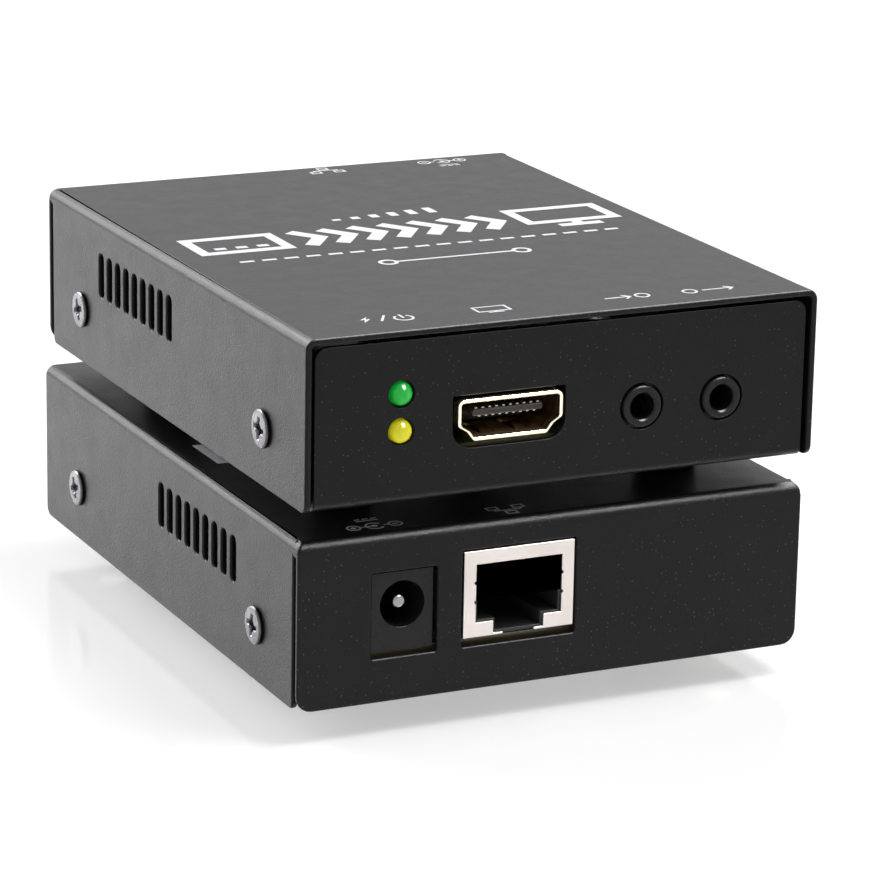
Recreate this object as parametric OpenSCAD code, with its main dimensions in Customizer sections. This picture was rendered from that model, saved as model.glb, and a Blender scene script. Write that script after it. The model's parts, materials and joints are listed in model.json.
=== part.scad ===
// A signal extender pair: two units in folded sheet steel cases, stacked with
// their ends turned opposite ways. The receiver stands on the transmitter.
// Both units are built from the same pieces. A unit's own frame has X to the
// right and Z up as seen from its socket end, Y towards its power end, and its
// origin under the middle of the case, level with the underside of the sheet.

/* [Case] */
// Outer width of a case
case_w = 75; // [72:0.5:90]
// Outer length of a case
case_d = 96; // [94:0.5:130]
// Outer height of a case, without its feet
case_h = 23.3; // [22.8:0.1:32]
// Thickness of the folded sheet
sheet_t = 0.9; // [0.7:0.05:1.1]
// Outer radius of the cover's bends
bend_r = 1.5; // [1.3:0.1:2.2]
// How far the lower unit stands behind the upper one
stack_shift = 2; // [0:0.5:6]

/* [Case ends] */
// Depth of the socket panel behind the cover's front rim
panel_inset = 0.5; // [0.2:0.1:1.5]
// Gap round the socket panel, inside the cover
panel_gap = 0.55; // [0.3:0.05:0.9]
// Corner radius at the top of the socket panel
panel_corner_r = 1.7; // [0.8:0.1:3]
// Outer radius of the fold under the socket panel
fold_r = 1.25; // [1.15:0.05:1.8]
// Gap between the power panel and the side walls
side_gap = 0.85; // [0.3:0.05:1.5]
// Corner radius at the bottom of the power panel
end_corner_r = 2.2; // [0.5:0.1:3]
// Corner radius of the side walls at the socket end
rim_corner_r = 1.5; // [0.5:0.1:3]
// Corner radius of the side walls at the power end
tail_corner_r = 1; // [0.5:0.1:3]
// Width of the bend relief at the corners of the cover
relief_w = 0.7; // [0.3:0.1:1.4]

/* [Chassis] */
// Gap between the chassis and the inside of the cover
cover_clear = 0.15; // [0.05:0.05:0.4]
// Height of the low side flanges
flange_h = 4; // [2.5:0.1:6]
// Length of each screw ear along the side
ear_w = 12; // [8:0.5:14]
// Height of the screw ears
ear_h = 11.3; // [10.5:0.1:11.5]
// Corner radius of the screw ears
ear_corner_r = 2.5; // [1:0.1:4]
// Gap between the chassis and the power panel
tail_gap = 0.2; // [0.1:0.05:0.6]

/* [Side slots] */
// Number of slots in each side
slot_count = 9; // [5:1:11]
// Width of a slot
slot_w = 1.9; // [1:0.1:2.4]
// Length of a slot from end to end
slot_len = 6.5; // [4:0.1:7]
// Distance from slot to slot
slot_pitch = 3.3; // [2.8:0.1:3.6]
// Distance of the middle of the slots from the top of the case
slot_drop = 8.5; // [7.5:0.1:8.7]
// Distance of the middle of the row from the power end
slot_row_y = 35.3; // [34:0.1:40]

/* [Cover screws] */
// Distance of the screws from the ends of the case
screw_end = 14; // [12:0.5:18]
// Height of the screws above the underside
screw_z = 8; // [7.5:0.1:8.4]
// Diameter of a pan head
head_d = 5.3; // [4.6:0.1:6]
// Height of a pan head
head_h = 0.7; // [0.5:0.05:1.1]
// Edge radius of a pan head
head_edge_r = 0.35; // [0.2:0.05:0.45]
// Diameter of a cover screw's shank
shank_d = 2.9; // [2.4:0.1:3]
// Length of a cover screw's shank
shank_len = 5; // [4:0.1:6]
// Diameter of the screw holes in the cover
screw_hole_d = 3.4; // [3.2:0.1:4]
// Length of the cross recess from arm to arm
cross_len = 3.2; // [2.4:0.1:3.6]
// Width of an arm of the cross recess
cross_w = 0.72; // [0.5:0.02:0.9]
// Depth of the cross recess
cross_depth = 0.6; // [0.3:0.05:1]
// Diameter of the pit in the middle of the recess
pit_d = 1.25; // [1:0.05:1.6]
// Gap between a screw and its thread
thread_clear = 0.05; // [0.02:0.01:0.1]

/* [Feet] */
// Diameter of a rubber foot where it meets the case
foot_d = 10; // [8:0.1:12]
// Diameter of a foot at its tip
foot_tip_d = 8.6; // [7:0.1:10]
// Height of a foot
foot_h = 4.4; // [3:0.1:6]
// Edge radius at the tip of a foot
foot_edge_r = 0.8; // [0.4:0.1:1.2]
// Distance of the feet from the sides of the case
foot_side = 13; // [10:0.5:20]
// Distance of the feet from the ends of the case
foot_end = 17.5; // [12:0.5:24]

/* [Circuit board] */
// Thickness of the circuit board
board_t = 1.6; // [1.2:0.1:1.8]
// Gap between the board and the screw ears
board_gap = 0.65; // [0.3:0.05:1]
// Gap between the board and the socket panel
board_front_gap = 0.5; // [0.3:0.05:1]
// Gap between the board and the power panel
board_tail_gap = 1; // [0.8:0.05:1.5]
// Corner radius of the board
board_corner_r = 1.5; // [0.5:0.1:2]
// Width of the notches that clear the cover screws
notch_w = 5; // [4.5:0.1:6]
// Depth of those notches
notch_len = 3.2; // [2.9:0.1:3.6]
// Diameter of a standoff
standoff_d = 5.5; // [5:0.1:6.5]
// Diameter of the pilot that clinches a standoff into the sheet
pilot_d = 4.2; // [3.8:0.1:4.6]
// Distance of the standoffs from the sides of the case
standoff_side = 7.5; // [7:0.1:8]
// Distance of the standoffs from the ends of the case
standoff_end = 8; // [7:0.1:9]
// Diameter of a board screw's head
board_head_d = 5.2; // [4.6:0.1:5.6]
// Height of a board screw's head
board_head_h = 1.9; // [1.2:0.1:2.2]
// Gap between a board screw's end and the bottom sheet
board_shank_gap = 0.8; // [0.3:0.1:1.5]

/* [Indicator lights] */
// Height of the lower light above the board
light_rise = 2.97; // [2.6:0.01:4]
// Distance between the two lights
light_pitch = 5.03; // [4.4:0.01:6]
// Diameter of a light
light_d = 3.2; // [2.6:0.1:3.5]
// Diameter of the holes for the lights
light_hole_d = 3.7; // [3.6:0.05:4]
// How far a light stands proud of the socket panel
light_proud = 1; // [0.4:0.05:1.2]
// Length of a light from its flange to its tip
light_len = 5.3; // [4.6:0.1:6]
// Diameter of a light's flange
light_flange_d = 3.8; // [3.6:0.1:4.2]
// Thickness of a light's flange
light_flange_t = 1; // [0.6:0.1:1.2]
// Width of a light's lead
lead_w = 0.5; // [0.3:0.05:0.7]
// Distance between the two leads of a light
lead_pitch = 2.54; // [2:0.02:2.8]
// Width of the block that holds the lights
holder_w = 5; // [4.6:0.1:6]
// Depth of that block
holder_d = 5.8; // [5:0.1:6.5]
// Gap between the block and the socket panel
holder_gap = 0.2; // [0.1:0.05:0.4]

/* [Video socket] */
// Outer width of the video socket's shell
video_w = 15.2; // [14.6:0.1:15.6]
// Outer height of that shell
video_h = 5.65; // [5.4:0.05:6]
// Depth of that shell
video_d = 11.6; // [10.5:0.1:13]
// Height of that shell above the board
video_rise = 0.75; // [0.5:0.05:1.2]
// Thickness of that shell
video_t = 0.45; // [0.3:0.05:0.55]
// How far that shell stands proud of the socket panel
video_proud = 0.4; // [0.1:0.05:0.6]
// Radius of the shell's upper corners
video_top_r = 0.9; // [0.6:0.05:1.2]
// Radius of the shell's lower corners
video_low_r = 0.6; // [0.3:0.05:0.9]
// Width of the outer step of each lower corner
step_w = 1.3; // [1:0.05:1.5]
// Height of the outer step of each lower corner
step_h = 0.8; // [0.6:0.05:1]
// Width of the inner step of each lower corner
foot_step_w = 1; // [0.8:0.05:1.2]
// Height of the inner step of each lower corner
foot_step_h = 1.3; // [1:0.05:1.5]
// Side clearance of the panel's cut-out round the shell
video_side_clear = 0.6; // [0.4:0.05:0.9]
// Clearance of the cut-out over the shell
video_top_clear = 0.5; // [0.3:0.05:0.8]
// Clearance of the cut-out under the shell
video_low_clear = 1; // [0.6:0.05:1.3]
// Lower corner radius of the cut-out
video_cut_r = 2.7; // [1.5:0.1:3]
// Width of the tongue inside the shell
tongue_w = 10.25; // [9.9:0.05:10.6]
// Thickness of the tongue
tongue_t = 0.95; // [0.8:0.05:1.1]
// Height of the middle of the tongue above the shell's underside
tongue_rise = 3.5; // [3.3:0.05:3.6]
// How far the tongue ends behind the shell's edge
tongue_back = 0.9; // [0.6:0.05:1.5]
// Depth of the block that carries the tongue
block_d = 4.2; // [3.8:0.1:4.8]
// Distance between neighbouring contacts of one row
video_pitch = 1; // [0.98:0.01:1.02]
// Width of a video contact
video_contact_w = 0.35; // [0.25:0.01:0.4]
// Thickness of a video contact
video_contact_t = 0.16; // [0.12:0.01:0.2]
// Width of the shell's spring windows
window_w = 2.4; // [2:0.1:2.8]
// Length of the shell's spring windows
window_len = 5; // [4:0.1:5.5]

/* [Sound jacks] */
// Height of the jacks above the board
jack_rise = 2.8; // [2.7:0.05:3.4]
// Diameter of a jack's collar
collar_d = 5.75; // [5.4:0.05:6]
// How far a collar stands proud of the socket panel
collar_proud = 0.3; // [0.1:0.05:0.45]
// Edge radius of a collar
collar_edge_r = 0.35; // [0.2:0.05:0.5]
// Diameter of the holes for the collars
collar_hole_d = 6.4; // [6.2:0.05:6.8]
// Diameter of a jack's bore
jack_bore_d = 3.6; // [3.54:0.02:3.7]
// Depth of a jack's bore
jack_bore_len = 11; // [9:0.1:11.5]
// Width of the chamfer at the mouth of the bore
jack_chamfer = 0.2; // [0.1:0.05:0.4]
// Width of a jack's body
jack_w = 6.4; // [6:0.1:7]
// Length of a jack's body
jack_d = 12; // [11.9:0.1:14]
// Height of the slot for a jack's spring
jack_slot_h = 1.1; // [0.9:0.05:1.3]
// Thickness of a spring
spring_t = 0.25; // [0.15:0.05:0.3]

/* [Power jack] */
// Width of the power jack's face
power_w = 9; // [8.6:0.1:9.4]
// Height of the power jack's face
power_h = 11; // [10.6:0.1:11.4]
// Thickness of the power jack's face block
power_face_d = 3.5; // [2.5:0.1:4]
// Edge chamfer of the face block
power_chamfer = 0.3; // [0.1:0.05:0.5]
// Length of the power jack
power_d = 14; // [13:0.1:15]
// Depth of the power jack behind the power panel's face
power_inset = 0.8; // [0.2:0.05:1.2]
// Height of the power jack's bore above the board
power_rise = 6.4; // [6.2:0.1:6.6]
// Diameter of that bore
power_bore_d = 6.4; // [6:0.1:6.6]
// Depth of that bore
power_bore_len = 9.6; // [9:0.1:10.5]
// Diameter of the centre pin
power_pin_d = 2; // [1.7:0.1:2.5]
// How far the pin ends behind the face
power_pin_back = 0.9; // [0.5:0.1:2]
// Width of the slot for the sleeve spring
power_slot_w = 2.2; // [1.8:0.1:2.6]
// Distance of that slot from the middle of the bore
power_slot_x = 1.3; // [0.8:0.1:1.5]

/* [Network socket] */
// Outer width of the network socket's shield
network_w = 16.3; // [15.8:0.1:16.6]
// Outer height of that shield
network_h = 12; // [11.8:0.1:12.4]
// Depth of that shield
network_d = 16; // [15.5:0.1:18]
// Height of that shield above the board
network_rise = 0.6; // [0.4:0.05:0.8]
// Thickness of that shield
network_t = 0.35; // [0.25:0.05:0.45]
// Depth of that shield behind the power panel's face
network_inset = 0.1; // [0.05:0.05:0.5]
// Width of the shield's opening
mouth_w = 12.7; // [12.5:0.1:13]
// Height of the shield's opening
mouth_h = 8.1; // [7.9:0.1:8.3]
// Height of the opening's sill above the shield's underside
sill_h = 2; // [1.9:0.05:2.2]
// Width of the latch step below the opening
latch_w = 7.45; // [7.2:0.05:7.8]
// Depth of the latch step
latch_h = 1.7; // [1.5:0.05:1.75]
// Width of the gap in the lip under the latch step
lip_gap_w = 4.6; // [4:0.1:5.5]
// How far the plastic cavity stands inside the shield's opening
cavity_inset = 0.35; // [0.2:0.05:0.4]
// How far the cavity's floors lie above the shield's sills
floor_rise = 0.25; // [0.15:0.05:0.3]
// Depth of the cavity
cavity_d = 13.2; // [12.5:0.1:13.4]
// Height of the shield's side tabs
tab_h = 2.2; // [1.6:0.1:2.6]
// Height of the side tabs' middle above the shield's underside
tab_rise = 6.2; // [5.6:0.1:6.6]
// Length of the side tabs
tab_len = 3; // [2:0.1:4]
// Diameter of the reliefs beside the side tabs
tab_relief_d = 0.5; // [0.3:0.05:0.6]
// Distance between neighbouring network contacts
network_pitch = 1.02; // [1:0.01:1.05]
// Width of a network contact
network_contact_w = 0.35; // [0.3:0.01:0.4]
// Thickness of a network contact
network_contact_t = 0.3; // [0.2:0.01:0.35]
// Side clearance of the power panel's cut-outs
port_side_clear = 0.25; // [0.15:0.05:0.5]
// Clearance of the cut-outs over the power and network sockets
port_top_clear = 0.25; // [0.1:0.05:0.6]
// Height of the cut-outs' lower edge below the board's top
port_drop = 0.6; // [0.3:0.05:0.9]

/* [Board parts] */
// Edge length of the main chip
chip_w = 14; // [10:0.5:16]
// Height of the main chip
chip_h = 1.2; // [0.8:0.1:2]
// Edge length of the heat sink
sink_w = 16; // [14:0.5:20]
// Height of the heat sink
sink_h = 7; // [4:0.5:9]
// Thickness of the heat sink's base
sink_base_t = 1.5; // [1:0.1:2.5]
// Thickness of a heat sink fin
fin_t = 0.8; // [0.6:0.1:1.2]
// Length of the network transformer
former_w = 15.5; // [15:0.1:17]
// Depth of the network transformer
former_d = 8.5; // [7:0.1:10]
// Height of the network transformer
former_h = 5.5; // [4:0.1:6.5]
// Distance between its leads
former_pitch = 1.27; // [1.2:0.01:1.3]
// Edge length of the power coil
coil_w = 8; // [6:0.1:9]
// Height of the power coil
coil_h = 4.2; // [3:0.1:5]
// Diameter of a capacitor can
can_d = 6.3; // [5:0.1:7]
// Height of a capacitor can
can_h = 7.7; // [5:0.1:9]
// Height of a capacitor's base
can_base_h = 1; // [0.6:0.1:1.5]
// Edge length of the reference small chip
small_chip_w = 7; // [5:0.1:8]
// Height of the small chips
small_chip_h = 1; // [0.6:0.1:1.4]
// Length of the clock crystal
crystal_w = 11; // [9:0.1:12]
// Depth of the clock crystal
crystal_d = 4.6; // [3.5:0.1:5]
// Height of the clock crystal
crystal_h = 3.5; // [2.5:0.1:5]

/* [Hidden] */
$fn = 48;

// One overrun for every cut, and one small clearance for loose fits inside
over = 0.5;
fit_clear = 0.05;

// Sum of a list, and a free width shared out in the parts that a list gives
function total(list, i = 0) = i < len(list) ? list[i] + total(list, i + 1) : 0;
function shared_out(free, shares) = [for (s = shares) free * s / total(shares)];

// Main planes of a unit along Y, from the socket end to the power end
front_y = -case_d / 2;
back_y = case_d / 2;
panel_y = front_y + panel_inset;
panel_back_y = panel_y + sheet_t;
end_panel_y = back_y - sheet_t;
side_end_y = end_panel_y - side_gap;
chassis_end_y = end_panel_y - tail_gap;

// Middle of the side slots
slot_z = case_h - slot_drop;

// Widths inside the cover
inner_w = case_w - 2 * sheet_t;
chassis_w = inner_w - 2 * cover_clear;
panel_w = inner_w - 2 * panel_gap;
panel_top_z = case_h - sheet_t - panel_gap;
flange_start_y = panel_back_y + fold_r;

// Circuit board
board_w = chassis_w - 2 * sheet_t - 2 * board_gap;
board_front_y = panel_back_y + board_front_gap;
board_back_y = end_panel_y - board_tail_gap;
// Height left over: under the board and over the network socket, the tallest piece
board_level_shares = [4.2, 3.1];
free_h = case_h - 2 * sheet_t - board_t - network_rise - network_h;
standoff_h = shared_out(free_h, board_level_shares)[0];
board_z = sheet_t + standoff_h;
board_top = board_z + board_t;
standoff_x = case_w / 2 - standoff_side;
standoff_y = case_d / 2 - standoff_end;
board_shank_len = board_t + standoff_h - board_shank_gap;
pin_hole_d = 1.1;
pin_below = 1;

// Pieces behind the socket panel, from the left board screws to the right ones:
// light block, video socket and two jacks, with the free width shared out
screw_edge_x = standoff_x - board_head_d / 2;
socket_gap_shares = [1.1, 5.45, 8.8, 5.6, 0.85];
socket_gaps = shared_out(2 * screw_edge_x - holder_w - video_w - 2 * jack_w, socket_gap_shares);
light_x = screw_edge_x - socket_gaps[0] - holder_w / 2;
video_x = light_x - holder_w / 2 - socket_gaps[1] - video_w / 2;
jack_x = -video_x + video_w / 2 + socket_gaps[2] + jack_w / 2;
jack_pitch = jack_w + socket_gaps[3];

// Pieces behind the power panel, from left to right: network socket, power jack
port_gap_shares = [24.65, 4.15, 0.7];
port_gaps = shared_out(2 * screw_edge_x - network_w - power_w, port_gap_shares);
power_x = screw_edge_x - port_gaps[2] - power_w / 2;
network_x = power_x - power_w / 2 - port_gaps[1] - network_w / 2;

// Indicator lights
light_low_z = board_top + light_rise;
light_high_z = light_low_z + light_pitch;
light_tip_y = panel_y - light_proud;
light_seat_y = light_tip_y + light_len;
holder_front_y = panel_back_y + holder_gap;
holder_back_y = holder_front_y + holder_d;
low_lead_y = holder_back_y + lead_w;
high_lead_y = low_lead_y + 3 * lead_w;

// Video socket
video_cx = -video_x;
video_z = board_top + video_rise;
video_front_y = panel_y - video_proud;
video_back_y = video_front_y + video_d;
tongue_z = video_z + tongue_rise;
tongue_front_y = video_front_y + tongue_back;
block_front_y = video_back_y - block_d;
tail_y = video_back_y + 2 * video_contact_t;
tail_len = 1.3;
video_leg_w = 1.4;
video_leg_ys = [video_front_y + 3 * video_leg_w, video_back_y - video_leg_w];
upper_contacts = 10;
lower_contacts = 9;
window_y = [video_front_y + video_leg_w + video_t,
  video_front_y + video_leg_w + video_t + window_len];
finger_dip = 2.2 * video_t;

// Sound jacks
jack_z = board_top + jack_rise;
jack_front_y = panel_y - collar_proud;
jack_body_y = panel_back_y + holder_gap;
jack_back_y = jack_body_y + jack_d;
jack_bore_end_y = jack_front_y + jack_bore_len;
jack_slot_y = jack_body_y + 1.5 * jack_slot_h;
jack_slot_end_y = jack_bore_end_y - jack_slot_h;
jack_tail_y = jack_slot_end_y - jack_slot_h / 2;

// Power jack
power_front_y = back_y - power_inset;
power_back_y = power_front_y - power_d;
power_z = board_top + power_rise;
power_bore_end_y = power_front_y - power_bore_len;
power_slot_start_y = power_front_y - power_face_d;
power_spring_y = power_bore_end_y + power_slot_w / 2;
pin_shoulder_d = power_pin_d * 1.2;

// Network socket
network_front_y = back_y - network_inset;
network_back_y = network_front_y - network_d;
network_z = board_top + network_rise;
network_top = network_z + network_h;
housing_w = network_w - 2 * network_t - 2 * fit_clear;
housing_front_y = network_front_y - network_t - fit_clear;
housing_back_y = network_back_y + network_t + fit_clear;
housing_bottom_z = network_z + fit_clear;
housing_top_z = network_top - network_t - fit_clear;
cavity_top_z = network_z + sill_h + mouth_h - cavity_inset;
cavity_floor_z = network_z + sill_h + floor_rise;
latch_floor_z = cavity_floor_z - latch_h;
cavity_back_y = housing_front_y - cavity_d;
comb_w = network_contact_w + 4 * fit_clear;
comb_top_z = (cavity_top_z + housing_top_z) / 2 + network_contact_t;
wire_top_z = comb_top_z - network_contact_t;
wire_front_y = housing_front_y - 3 * network_contact_t;
wire_low_z = cavity_top_z - 2.2 * network_pitch;
wire_end_y = cavity_back_y + 3 * network_contact_t;
wire_tail_y = housing_back_y + 2 * network_contact_t;
shield_leg_w = 1.6;
shield_leg_y = network_front_y - network_d / 2;
network_contacts_n = 8;

// Places on the board, as shares of its half width and half length
chip_place_shares = [-0.2, -0.13];
former_y_share = 0.45;
coil_place_shares = [0.68, 0.42];
can_place_shares = [[0.82, 0.1], [0.56, 0.1], [-0.62, 0.6], [-0.62, 0.42]];
small_chip_shares = [
  [-0.7, -0.42, 1.2, 0.8], [-0.72, -0.1, 0.8, 0.8], [0.3, -0.36, 1, 1],
  [0.68, -0.3, 0.8, 0.6], [-0.38, 0.42, 0.9, 0.9], [0.25, 0.05, 0.7, 0.7]
];
crystal_place_shares = [-0.66, 0.16];
fin_count = 7;
former_leads = 12;
board_half = [board_w / 2, (board_back_y - board_front_y) / 2];
board_mid_y = (board_back_y + board_front_y) / 2;
module on_board(share)
  translate([share[0] * board_half[0], board_mid_y + share[1] * board_half[1], board_top])
    children();

// Leads that pass through the board
light_lead_spots = [for (side = [-1, 1], y = [low_lead_y, high_lead_y])
  [-light_x + side * lead_pitch / 2, y]];
jack_tail_spots = [for (x = [jack_x, jack_x + jack_pitch])
  [x + jack_w / 2 + spring_t, jack_tail_y]];
power_spots = [[power_x, power_back_y - 2 * spring_t], [power_x + power_slot_x, power_spring_y]];
wire_spots = [for (i = [0:network_contacts_n - 1])
  [network_x + (i - (network_contacts_n - 1) / 2) * network_pitch, wire_tail_y]];

// Seat of a piece's 2D outline: outline X stays X, outline Y becomes Z
module along_y(y_from, y_to)
  translate([0, y_to, 0]) rotate([90, 0, 0]) linear_extrude(y_to - y_from) children();

// Outline X becomes Y, outline Y becomes Z
module along_x(x_from, x_to)
  translate([x_from, 0, 0]) rotate([90, 0, 90]) linear_extrude(x_to - x_from) children();

module along_z(z_from, z_to)
  translate([0, 0, z_from]) linear_extrude(z_to - z_from) children();

// Box from its low corner to its high corner
module box(low, high) translate(low) cube(high - low);

// Points of an arc that rounds corner b between its neighbours a and c
function unit_to(a, b) = (b - a) / norm(b - a);
function rounded_corner(a, b, c, r, steps = 5) =
  r == 0 ? [b] : let (
    u = unit_to(b, a), v = unit_to(b, c),
    half = acos(u * v) / 2,
    middle = b + unit_to([0, 0], u + v) * r / sin(half),
    start = b + u * r / tan(half) - middle,
    stop = b + v * r / tan(half) - middle,
    from = atan2(start[1], start[0]),
    turn = atan2(start[0] * stop[1] - start[1] * stop[0], start * stop)
  ) [for (i = [0:steps]) middle + r * [cos(from + turn * i / steps), sin(from + turn * i / steps)]];

// Closed outline with a radius at each corner
function rounded_outline(points, radii) = [
  for (i = [0:len(points) - 1], p = rounded_corner(
    points[(i + len(points) - 1) % len(points)], points[i],
    points[(i + 1) % len(points)], radii[i])) p
];

// Rectangle from its low corner to its high corner, rounded below and above
module rounded_box(low, high, low_r, high_r)
  polygon(rounded_outline(
    [low, [high[0], low[1]], high, [low[0], high[1]]], [low_r, low_r, high_r, high_r]));

// Flat strip of even thickness along a path, with mitred bends
function normal_of(a, b) = let (d = unit_to(a, b)) [-d[1], d[0]];
function mitre(path, i) =
  i == 0 ? normal_of(path[0], path[1])
  : i == len(path) - 1 ? normal_of(path[i - 1], path[i])
  : let (s = normal_of(path[i - 1], path[i]) + normal_of(path[i], path[i + 1])) 2 * s / (s * s);
module ribbon(path, thickness)
  polygon(concat(
    [for (i = [0:len(path) - 1]) path[i] + mitre(path, i) * thickness / 2],
    [for (i = [len(path) - 1:-1:0]) path[i] - mitre(path, i) * thickness / 2]));

// Square corner waste outside a rounded corner at the origin
module corner_waste(r)
  difference() {
    translate([-over, -over]) square(r + over);
    translate([r, r]) circle(r = r);
  }

// Outline with two true round upper corners
module round_top(w, h, r) {
  translate([-w / 2, 0]) square([w, h - r]);
  translate([-w / 2 + r, 0]) square([w - 2 * r, h]);
  for (side = [-1, 1]) translate([side * (w / 2 - r), h - r]) circle(r = r);
}

// Quarter ring of a sheet bend round the origin, in the corner towards -X and -Y
module quarter_bend(r, t)
  difference() {
    intersection() {
      circle(r = r);
      translate([-r, -r]) square(r);
    }
    circle(r = r - t);
  }

module slot_hole(w, len) {
  translate([-w / 2, -(len - w) / 2]) square([w, len - w]);
  for (side = [-1, 1]) translate([0, side * (len - w) / 2]) circle(d = w);
}

// Cover: the top, both sides and the power panel, folded from one sheet
module cover() {
  color([0.13, 0.13, 0.14]) difference() {
    union() {
      along_y(front_y, side_end_y) difference() {
        round_top(case_w, case_h, bend_r);
        translate([0, -over]) round_top(inner_w, case_h - sheet_t + over, bend_r - sheet_t);
      }
      along_x(-case_w / 2 + relief_w, case_w / 2 - relief_w) {
        translate([side_end_y - over, case_h - sheet_t])
          square([back_y - bend_r - side_end_y + over, sheet_t]);
        translate([back_y - bend_r, case_h - bend_r]) rotate(180) quarter_bend(bend_r, sheet_t);
      }
      along_y(end_panel_y, back_y)
        rounded_box([-case_w / 2, 0], [case_w / 2, case_h - bend_r], end_corner_r, 0);
    }
    along_x(-case_w / 2 - over, case_w / 2 + over) {
      translate([front_y, 0]) corner_waste(rim_corner_r);
      translate([side_end_y, 0]) mirror([1, 0]) intersection() {
        corner_waste(tail_corner_r);
        translate([0, -over]) square(tail_corner_r + over);
      }
      for (i = [0:slot_count - 1])
        translate([back_y - slot_row_y + (i - (slot_count - 1) / 2) * slot_pitch, slot_z])
          slot_hole(slot_w, slot_len);
      for (end = [-1, 1]) translate([end * (case_d / 2 - screw_end), screw_z])
        circle(d = screw_hole_d);
    }
    along_y(end_panel_y - over, back_y + over) {
      translate([power_x - power_w / 2 - port_side_clear, board_top - port_drop])
        square([power_w + 2 * port_side_clear, power_h + port_drop + port_top_clear]);
      translate([network_x - network_w / 2 - port_side_clear, board_top - port_drop])
        square([network_w + 2 * port_side_clear,
          network_rise + network_h + port_drop + port_top_clear]);
    }
  }
}

// Outline of the video socket's shell, shrunk all round by an inset
function video_outline(inset) = let (
    half = video_w / 2 - inset, top = video_h - inset,
    knee = step_h + foot_step_h, r = video_low_r
  ) rounded_outline([
    [-half, top], [-half, knee], [-half + step_w, foot_step_h],
    [-video_w / 2 + step_w + foot_step_w, inset], [video_w / 2 - step_w - foot_step_w, inset],
    [half - step_w, foot_step_h], [half, knee], [half, top]
  ], [video_top_r - inset, r, r, r, r, r, r, video_top_r - inset]);

module socket_panel_cuts() {
  for (z = [light_low_z, light_high_z]) translate([-light_x, z]) circle(d = light_hole_d);
  for (x = [jack_x, jack_x + jack_pitch]) translate([x, jack_z]) circle(d = collar_hole_d);
  translate([video_cx, 0]) rounded_box(
    [-video_w / 2 - video_side_clear, video_z - video_low_clear],
    [video_w / 2 + video_side_clear, video_z + video_h + video_top_clear], video_cut_r, 0);
}

// Chassis: the bottom with its flanges and ears, and the socket panel
module chassis() {
  color([0.12, 0.12, 0.13]) difference() {
    union() {
      // Bottom and flanges, a channel that is open upwards
      along_y(flange_start_y, chassis_end_y) difference() {
        translate([0, flange_h]) mirror([0, 1]) round_top(chassis_w, flange_h, bend_r);
        translate([0, flange_h + over]) mirror([0, 1])
          round_top(chassis_w - 2 * sheet_t, flange_h - sheet_t + over, bend_r - sheet_t);
      }
      // Bottom strip up to the fold, the fold and the socket panel
      along_x(-panel_w / 2, panel_w / 2) {
        translate([panel_y + fold_r, 0]) square([flange_start_y - panel_y - fold_r + over, sheet_t]);
        translate([panel_y + fold_r, fold_r]) quarter_bend(fold_r, sheet_t);
      }
      along_y(panel_y, panel_back_y)
        rounded_box([-panel_w / 2, fold_r], [panel_w / 2, panel_top_z], 0, panel_corner_r);
      // Screw ears
      for (side = [-1, 1], end = [-1, 1])
        translate([0, end * (case_d / 2 - screw_end), 0])
          along_x(side * (chassis_w - sheet_t) / 2 - sheet_t / 2,
            side * (chassis_w - sheet_t) / 2 + sheet_t / 2)
            rounded_box([-ear_w / 2, bend_r], [ear_w / 2, ear_h], 0, ear_corner_r);
    }
    along_y(panel_y - over, panel_back_y + over) socket_panel_cuts();
    along_x(-case_w / 2, case_w / 2)
      for (end = [-1, 1]) translate([end * (case_d / 2 - screw_end), screw_z])
        circle(d = shank_d + 2 * thread_clear);
    along_z(-over, sheet_t + over) standoff_places() circle(d = pilot_d + 2 * fit_clear);
  }
}

module standoff_places()
  for (side = [-1, 1], end = [-1, 1])
    translate([side * standoff_x, end * standoff_y]) children();

// Pan head with a cross recess, its seat at the origin and its tip towards -Z
module pan_screw(head, height, edge_r, shank, len) {
  difference() {
    rotate_extrude() polygon(concat(
      [[0, -len], [shank / 2 - edge_r / 2, -len], [shank / 2, -len + edge_r / 2], [shank / 2, 0]],
      [[head / 2, 0]],
      rounded_corner([head / 2, 0], [head / 2, height], [0, height], edge_r),
      [[0, height]]));
    for (turn = [0, 90]) rotate(turn)
      box([-cross_len / 2, -cross_w / 2, height - cross_depth],
        [cross_len / 2, cross_w / 2, height + over]);
    translate([0, 0, height - 2 * cross_depth])
      cylinder(h = 2 * cross_depth + over, d1 = pit_d / 2, d2 = pit_d, $fn = 24);
  }
}

module cover_screws()
  color([0.35, 0.35, 0.36]) for (side = [-1, 1], end = [-1, 1])
    translate([side * case_w / 2, end * (case_d / 2 - screw_end), screw_z])
      rotate([0, side * 90, 0]) pan_screw(head_d, head_h, head_edge_r, shank_d, shank_len);

module foot()
  rotate_extrude() polygon(concat(
    [[0, 0]],
    [[foot_d / 2, 0]],
    rounded_corner([foot_d / 2, 0], [foot_tip_d / 2, -foot_h], [0, -foot_h], foot_edge_r),
    [[0, -foot_h]]));

module feet()
  color([0.07, 0.07, 0.07]) for (side = [-1, 1], end = [-1, 1])
    translate([side * (case_w / 2 - foot_side), end * (case_d / 2 - foot_end), 0]) foot();

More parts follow.
